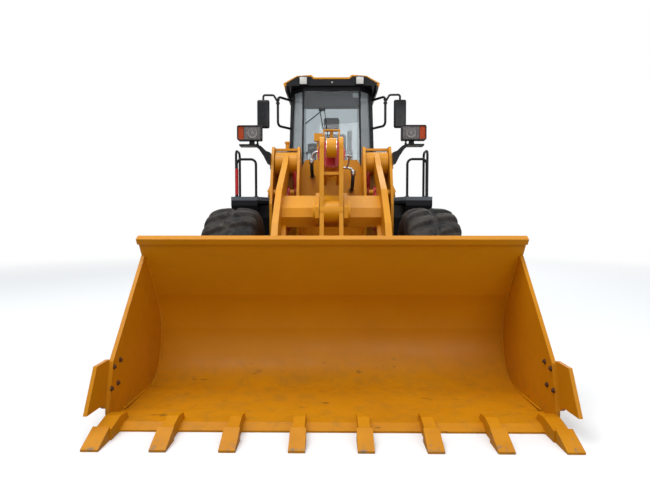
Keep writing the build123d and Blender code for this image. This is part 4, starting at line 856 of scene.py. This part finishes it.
def hose(name, knots, radius, finish, body, count=48, fittings=True):
    """A hose through knots (x, back, up) on a smooth line, with a collar and a hexagon nut at each end."""
    path = smooth_path([at(*knot) for knot in knots], count)
    made = [put(name, *pipe(path, radius, 12), finish, body)]
    if fittings:
        metal_parts = []
        for end, beside in ((path[0], path[3]), (path[-1], path[-4])):
            way = beside - end
            way = way / np.linalg.norm(way)
            metal_parts.append(
                turned(
                    [
                        (radius * 1.05, -0.006), (radius * COLLAR, 0.0), (radius * COLLAR, 0.045),
                        (radius * 1.06, 0.052), (radius * 1.02, 0.052),
                    ],
                    way, end, 16,
                )
            )
            metal_parts.append(hexagon(radius * 1.75, 0.018, -way, end + way * 0.004))
        made.append(put(name + "_ends", *joined(metal_parts), "steel", body, smooth=False))
    return made


def run_the_hoses():
    """The tilt cylinder's pipes and hoses, the lift cylinders' red pipes, the hoses over the centre hinge."""
    right = hose(
        "tilt_hose_right",
        [
            (-0.2435, 0.795, 2.112), (-0.2445, 0.800, 2.060), (-0.244, 0.815, 2.000), (-0.243, 0.880, 1.950),
            (-0.243, 0.990, 1.936), (-0.243, 1.116, 1.935),
        ],
        0.022, "hose", None,
    )
    for piece in right:
        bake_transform(piece)
    hose(
        "tilt_elbow_right",
        [
            (-0.118, 0.770, 2.060), (-0.135, 0.770, 2.150), (-0.170, 0.772, 2.205), (-0.215, 0.780, 2.190),
            (-0.240, 0.790, 2.150), (-0.2435, 0.795, 2.105),
        ],
        0.016, "steel", "tilt_barrel", 36, False,
    )
    left = hose(
        "tilt_hose_left",
        [
            (0.268, 0.800, 1.968), (0.266, 0.800, 1.905), (0.262, 0.815, 1.845), (0.260, 0.880, 1.785),
            (0.258, 0.990, 1.760), (0.258, 1.116, 1.756),
        ],
        0.022, "hose", None,
    )
    for piece in left:
        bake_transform(piece)
    hose(
        "tilt_elbow_left",
        [
            (0.118, 0.800, 2.010), (0.165, 0.800, 2.016), (0.215, 0.800, 2.010), (0.255, 0.800, 1.992),
            (0.268, 0.800, 1.960),
        ],
        0.015, "steel", "tilt_barrel", 36, False,
    )
    hose(
        "tilt_pipe_left",
        [
            (0.135, 0.100, 2.075), (0.180, 0.130, 2.078), (0.206, 0.250, 2.080), (0.206, 0.500, 2.070),
            (0.206, 0.700, 2.050), (0.190, 0.780, 2.022),
        ],
        0.011, "steel", "tilt_barrel", 50, False,
    )
    for label, side in SIDES:
        x = side * LIFT_CYLINDER_X
        hose(
            f"lift_pipe_{label}",
            [
                (x - side * 0.070, 0.575, 1.590), (x - side * 0.094, 0.555, 1.577),
                (x - side * 0.097, 0.50, 1.532), (x - side * 0.096, 0.36, 1.413),
                (x - side * 0.094, 0.20, 1.278), (x - side * 0.068, 0.165, 1.250),
            ],
            0.010, "red", f"lift_barrel_{label}", 48, False,
        )
        tube = [(POLE, 0.0), (0.018, 0.0), (0.024, 0.006), (0.024, 0.230), (0.018, 0.238), (POLE, 0.238)]
        feed = [turned(tube[::-1], (0, 0, -1), at(side * 0.4495, 0.800, 1.965), 24)]
        for k in range(2):
            up = 1.716 + 0.038 * k
            bend = [
                at(side * 0.440, 0.790, up), at(side * 0.440, 0.610 - 0.012 * k, up),
                at(side * 0.440, 0.610 - 0.012 * k, up - 0.060), at(side * 0.440, 0.790, up - 0.060),
            ]
            feed.append(pipe(rounded_path(bend, 0.018), 0.007, 10))
        put(f"lift_feed_{label}", *joined(feed), "red", FRONT)
    for number in range(4):
        x = -0.105 + 0.07 * number
        bridge = hose(
            f"centre_hose_{number}",
            [
                (x, 1.20, 1.255 + 0.012 * (number % 2)), (x * 1.1, 1.36, 1.36), (x * 1.2, 1.60, 1.415),
                (x * 1.1, 1.86, 1.37), (x, 2.02, 1.28),
            ],
            0.016, "hose", None,
        )
        for piece in bridge:
            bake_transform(piece)


# Caps on the pins
BOOM_PIN = (0.930, 2.080)
LIFT_PIN = (0.700, 1.700)
TOWER_OUTER_X = 0.564 + 0.176 + 0.014


def dress_pins():
    """The tilt rod's eye, and round caps with three screws over the pins of boom and lift cylinders."""
    eye = turned(
        [
            (0.0505, -0.0536), (0.092, -0.0536), (0.0975, -0.0515), (0.0992, -0.046), (0.0992, 0.046),
            (0.0975, 0.0515), (0.092, 0.0536), (0.0505, 0.0536),
        ],
        (1, 0, 0), at(0.0, -0.255, 2.110), 56,
    )
    put("tilt_rod_eye", *eye, "yellow", "tilt_rod")
    for label, side in SIDES:
        outer = side * TOWER_OUTER_X
        for spot, radius in ((BOOM_PIN, 0.082), (LIFT_PIN, 0.060)):
            parts = [button(radius, 0.016, (side, 0, 0), at(outer, *spot), 40)]
            reach = 0.66 * radius
            for k in range(3):
                a = TAU * k / 3 + 0.5
                screw = at(outer + side * 0.015, spot[0] + reach * math.cos(a), spot[1] + reach * math.sin(a))
                parts.append(hexagon(0.011, 0.009, (side, 0, 0), screw))
            put(f"pin_cap_{label}_{int(spot[1] * 1000)}", *joined(parts), "yellow", FRONT)


def close_the_towers():
    """Dark plates behind the boom's bosses that shut the slot under each tower's top tie: painted shade for
    the dark openings there.
    """
    for label, side in SIDES:
        low, high = sorted((side * 0.4215, side * 0.7065))
        # painted shade: a dark sheet where the slot under the top tie lies in shade
        put(
            f"tower_shade_{label}", *soft_box(at(low, 1.092, 2.146), at(high, 1.104, 2.251), 0.002, 3),
            "dark", FRONT,
        )


# Cab and decks
DOOR_X = 0.655
DOOR_LEAN = 0.05
DOOR_FOOT = 1.62
DOOR_HEIGHT = 1.68
STACK_X = 0.330
STACK_BACK = 3.900


def dress_the_mirrors():
    """Mirror loops, their arms and clamps, rounded black shells and bright faces towards the cab."""
    for label, side in SIDES:
        loop = [
            at(side * 0.615, 2.183, 2.740), at(side * 0.780, 1.940, 2.740), at(side * 0.780, 1.940, 3.160),
            at(side * 0.615, 2.183, 3.160),
        ]
        arm = [
            at(side * 0.780, 1.940, 3.080), at(side * 0.840, 1.940, 3.180), at(side * 0.990, 1.930, 3.180),
            at(side * 0.990, 1.930, 3.100),
        ]
        bars = [pipe(rounded_path(loop, 0.06), 0.0180, 14), pipe(rounded_path(arm, 0.03), 0.0155, 14)]
        clamp = [(0.0185, 0.0), (0.028, 0.002), (0.028, 0.026), (0.0185, 0.028)]
        for up in (3.050, 3.100):
            bars.append(turned(clamp, UPWARDS, at(side * 0.780, 1.940, up), 18))
        put(f"mirror_bars_{label}", *joined(bars), "shell", REAR, replaces=["mirrors"])
        low, high = sorted((side * 0.900, side * 1.080))
        put(
            f"mirror_shell_{label}", *soft_box(at(low, 1.900, 2.700), at(high, 1.957, 3.110), 0.027, 7),
            "shell", REAR,
        )
        put(
            f"mirror_face_{label}",
            *soft_box(at(low + 0.012, 1.950, 2.718), at(high - 0.012, 1.960, 3.092), 0.0045, 4),
            "mirror", REAR,
        )


def dress_the_rails():
    """Round deck rails with foot plates, each bent from one tube, and the red sleeve on one leg."""
    plate = [(0.034, 0.0), (0.034, 0.008), (0.026, 0.010), (0.022, 0.020), (0.0178, 0.022)]
    parts = []
    for side in (-1, 1):
        for corners in (
            [(1.330, 1.640, 1.690), (1.330, 1.640, 2.220), (1.060, 1.640, 2.220), (1.060, 1.640, 1.690)],
            [(1.350, 1.700, 1.690), (1.350, 1.700, 2.350), (1.350, 1.990, 2.350), (1.350, 1.990, 1.690)],
        ):
            line = [at(side * x, back, up) for x, back, up in corners]
            parts.append(pipe(rounded_path(line, 0.07), 0.0175, 14, False))
            for x, back, up in (corners[0], corners[-1]):
                parts.append(turned(plate, UPWARDS, at(side * min(x, 1.345), back, 1.6905), 20))
    put("deck_rails", *joined(parts), "dark", REAR, replaces=["handrails"])
    sleeve = turned(
        [(0.0178, 0.0), (0.0225, 0.003), (0.0225, 0.367), (0.0178, 0.370)], UPWARDS, at(-1.330, 1.640, 1.720),
        20,
    )
    put("rail_sleeve", *sleeve, "red_tape", REAR)


def furnish_the_cab():
    """A sprung seat with cushions, arm rests and levers; a dark sun band that is also a painted reflection on
    the windscreen, blank plate, roof sensor and wiper.
    """
    sprung = [soft_box(at(-0.200, 2.740, 1.6705), at(0.200, 3.060, 1.760), 0.02)]
    for k in range(5):
        sprung.append(
            soft_box(at(-0.170, 2.770, 1.755 + 0.042 * k), at(0.170, 3.030, 1.800 + 0.042 * k), 0.018)
        )
    sprung.append(soft_box(at(-0.240, 2.620, 1.965), at(0.240, 3.090, 2.010), 0.02))
    sprung.append(soft_box(at(-0.030, 3.030, 2.780), at(0.030, 3.050, 2.900), 0.008))
    put("seat_base", *joined(sprung), "plastic", REAR, replaces=["operator_seat"])
    cushions = (
        ("seat_cushion", (-0.250, 2.560, 2.008), (0.250, 3.040, 2.125), 0.050, 0.8),
        ("seat_back", (-0.245, 2.985, 2.100), (0.245, 3.105, 2.800), 0.055, 0.8),
        ("head_rest", (-0.130, 2.995, 2.850), (0.130, 3.095, 3.070), 0.045, 0.9),
        ("arm_rest_left", (0.262, 2.640, 2.300), (0.322, 2.980, 2.360), 0.026, 0.9),
        ("arm_rest_right", (-0.322, 2.640, 2.300), (-0.262, 2.980, 2.360), 0.026, 0.9),
    )
    for name, low, high, radius, fill in cushions:
        put(name, *soft_box(at(*low), at(*high), radius, 8), "seat", "rear_chassis")
    levers = [soft_box(at(-0.480, 2.480, 1.6705), at(-0.350, 2.980, 2.270), 0.03)]
    for k in range(2):
        x, back = -0.385 - 0.060 * k, 2.560
        levers.append(
            pipe([at(x, back, 2.265), at(x, back - 0.010, 2.330), at(x, back - 0.015, 2.400)], 0.008, 10)
        )
        levers.append(soft_box(at(x - 0.020, back - 0.036, 2.395), at(x + 0.020, back + 0.006, 2.450), 0.018))
    put("lever_box", *joined(levers), "plastic", REAR)
    # dark sheet inside the windscreen: partly a sun band, partly a painted dark reflection on the glass
    put("sun_band_and_painted_reflection", *soft_box(at(-0.395, 1.990, 3.020), at(0.395, 1.996, 3.232), 0.002, 3), "shell", REAR)
    put("blank_plate", *soft_box(at(0.312, 1.982, 3.150), at(0.392, 1.985, 3.218), 0.001, 3), "pale", REAR)
    put(
        "roof_sensor", *button(0.012, 0.008, (0, -1, 0), at(0.008, 1.8765, 3.345), 20, 0.5), "lens_frost",
        REAR,
    )
    blade = [
        pipe([at(0.020, 1.868, 1.935), at(-0.060, 1.884, 2.340), at(-0.1715, 1.905, 2.970)], 0.0065, 8),
        pipe([at(0.050, 1.868, 1.935), at(-0.020, 1.884, 2.340), at(-0.105, 1.905, 2.977)], 0.0050, 8),
        pipe([at(-0.380, 1.900, 2.762), at(-0.240, 1.903, 2.870), at(-0.100, 1.906, 2.985)], 0.0075, 8),
        soft_box(at(-0.185, 1.892, 2.945), at(-0.090, 1.912, 2.985), 0.006, 4),
        soft_box(at(-0.020, 1.850, 1.900), at(0.095, 1.884, 1.955), 0.012, 5),
    ]
    put("wiper", *joined(blade), "shell", REAR)


def door_x(side, up, gap):
    """The leaning face of a door at a height, and a gap further out."""
    return side * (DOOR_X - DOOR_LEAN * (up - DOOR_FOOT) / DOOR_HEIGHT + gap)


def dress_the_doors():
    """Grab bars on the doors, each standing off on two feet, with the latch plate below."""
    for label, side in SIDES:
        bar = rounded_path(
            [
                at(door_x(side, 2.02, -0.004), 2.365, 2.02), at(door_x(side, 2.02, 0.040), 2.365, 2.02),
                at(door_x(side, 2.46, 0.040), 2.365, 2.46), at(door_x(side, 2.46, -0.004), 2.365, 2.46),
            ],
            0.022,
        )
        low, high = sorted((door_x(side, 1.94, -0.004), door_x(side, 1.94, 0.016)))
        latch = soft_box(at(low, 2.335, 1.900), at(high, 2.430, 1.980), 0.007, 5)
        put(f"door_grip_{label}", *joined([pipe(bar, 0.011, 12), latch]), "shell", f"door_{label}")


def dress_the_tail():
    """Rear lamp lenses, hood latches, upright wires behind the grille, exhaust tip and bands, intake band."""
    for label, side in SIDES:
        low, high = sorted((side * 0.862, side * 1.018))
        put(
            f"tail_lens_{label}", *ribbed_panel_rear((low, high), (1.462, 1.538), 5.2005, 0.006, 6),
            "red_lens", REAR,
        )
        latches = []
        for back in (3.560, 4.200, 4.820):
            low, high = sorted((side * 0.599, side * 0.612))
            latches.append(soft_box(at(low, back, 1.300), at(high, back + 0.060, 1.420), 0.004, 4))
        put(f"hood_latches_{label}", *joined(latches), "plastic", REAR)
    wires = []
    for k in range(27):
        x = -0.520 + 0.040 * k
        wires.append(pipe([at(x, 5.052, 1.505), at(x, 5.052, 2.245)], 0.0030, 6, False))
    put("grille_mesh", *joined(wires), "steel_worn", REAR)
    lip = [
        (0.0455, 0.0), (0.050, 0.0), (0.050, 0.030), (0.0455, 0.030), (0.038, 0.030), (0.038, 0.004),
        (POLE, 0.004),
    ]
    clamp = [(0.060, 0.0), (0.0645, 0.001), (0.0645, 0.019), (0.060, 0.020)]
    tip = [turned(lip, UPWARDS, at(STACK_X, STACK_BACK, 2.972), 28)]
    for up in (2.400, 2.600):
        tip.append(turned(clamp, UPWARDS, at(STACK_X, STACK_BACK, up), 28))
    put("exhaust_tip", *joined(tip), "steel_worn", REAR)
    band = turned(
        [(0.110, 0.0), (0.1125, 0.004), (0.1125, 0.030), (0.110, 0.034)], UPWARDS,
        at(-STACK_X, STACK_BACK, 2.660), 32,
    )
    put("intake_band", *band, "steel_worn", REAR)


# Bucket
BUCKET_BACK = -2.300
CHEEK_X = 1.470


def bolt_the_bucket():
    """Nuts on washers inside each cheek, where the side cutters are bolted on: two pairs."""
    for label, side in SIDES:
        nuts = []
        for depth, up in ((0.119, 0.243), (0.220, 0.249), (0.167, 0.376), (0.266, 0.396)):
            nuts.append(button(0.019, 0.003, (-side, 0, 0), at(side * 1.4722, BUCKET_BACK + depth, up), 20))
            nuts.append(hexagon(0.0135, 0.012, (-side, 0, 0), at(side * CHEEK_X, BUCKET_BACK + depth, up)))
        put(f"cutter_nuts_{label}", *joined(nuts), "rusty", "bucket", smooth=False)


def weld_the_bucket():
    """Weld beads in the corner of floor and cheek: a tube whose radius swells in small ripples."""
    for label, side in SIDES:
        line = np.array(
            [
                (0.30, 0.040), (0.81, 0.028), (0.93, 0.052), (1.04, 0.140), (1.112, 0.300), (1.125, 0.440),
                (1.098, 0.580), (1.000, 0.746), (0.79, 1.065),
            ]
        )
        flat = smooth_path(np.concatenate([line, np.zeros((len(line), 1))], 1), 420)
        path = np.stack(
            [np.full(len(flat), side * 1.468), FRONT_AXLE_Y + BUCKET_BACK + flat[:, 0], flat[:, 1]], -1,
        )
        ripple = 0.0085 + 0.0012 * np.sin(np.arange(len(path)) * 1.9)
        put(f"corner_weld_{label}", *pipe(path, ripple, 8), "bucket", "bucket")


dress_wheels()
dress_lamps()
run_the_hoses()
dress_pins()
close_the_towers()
dress_the_mirrors()
dress_the_rails()
furnish_the_cab()
dress_the_doors()
dress_the_tail()
bolt_the_bucket()
weld_the_bucket()
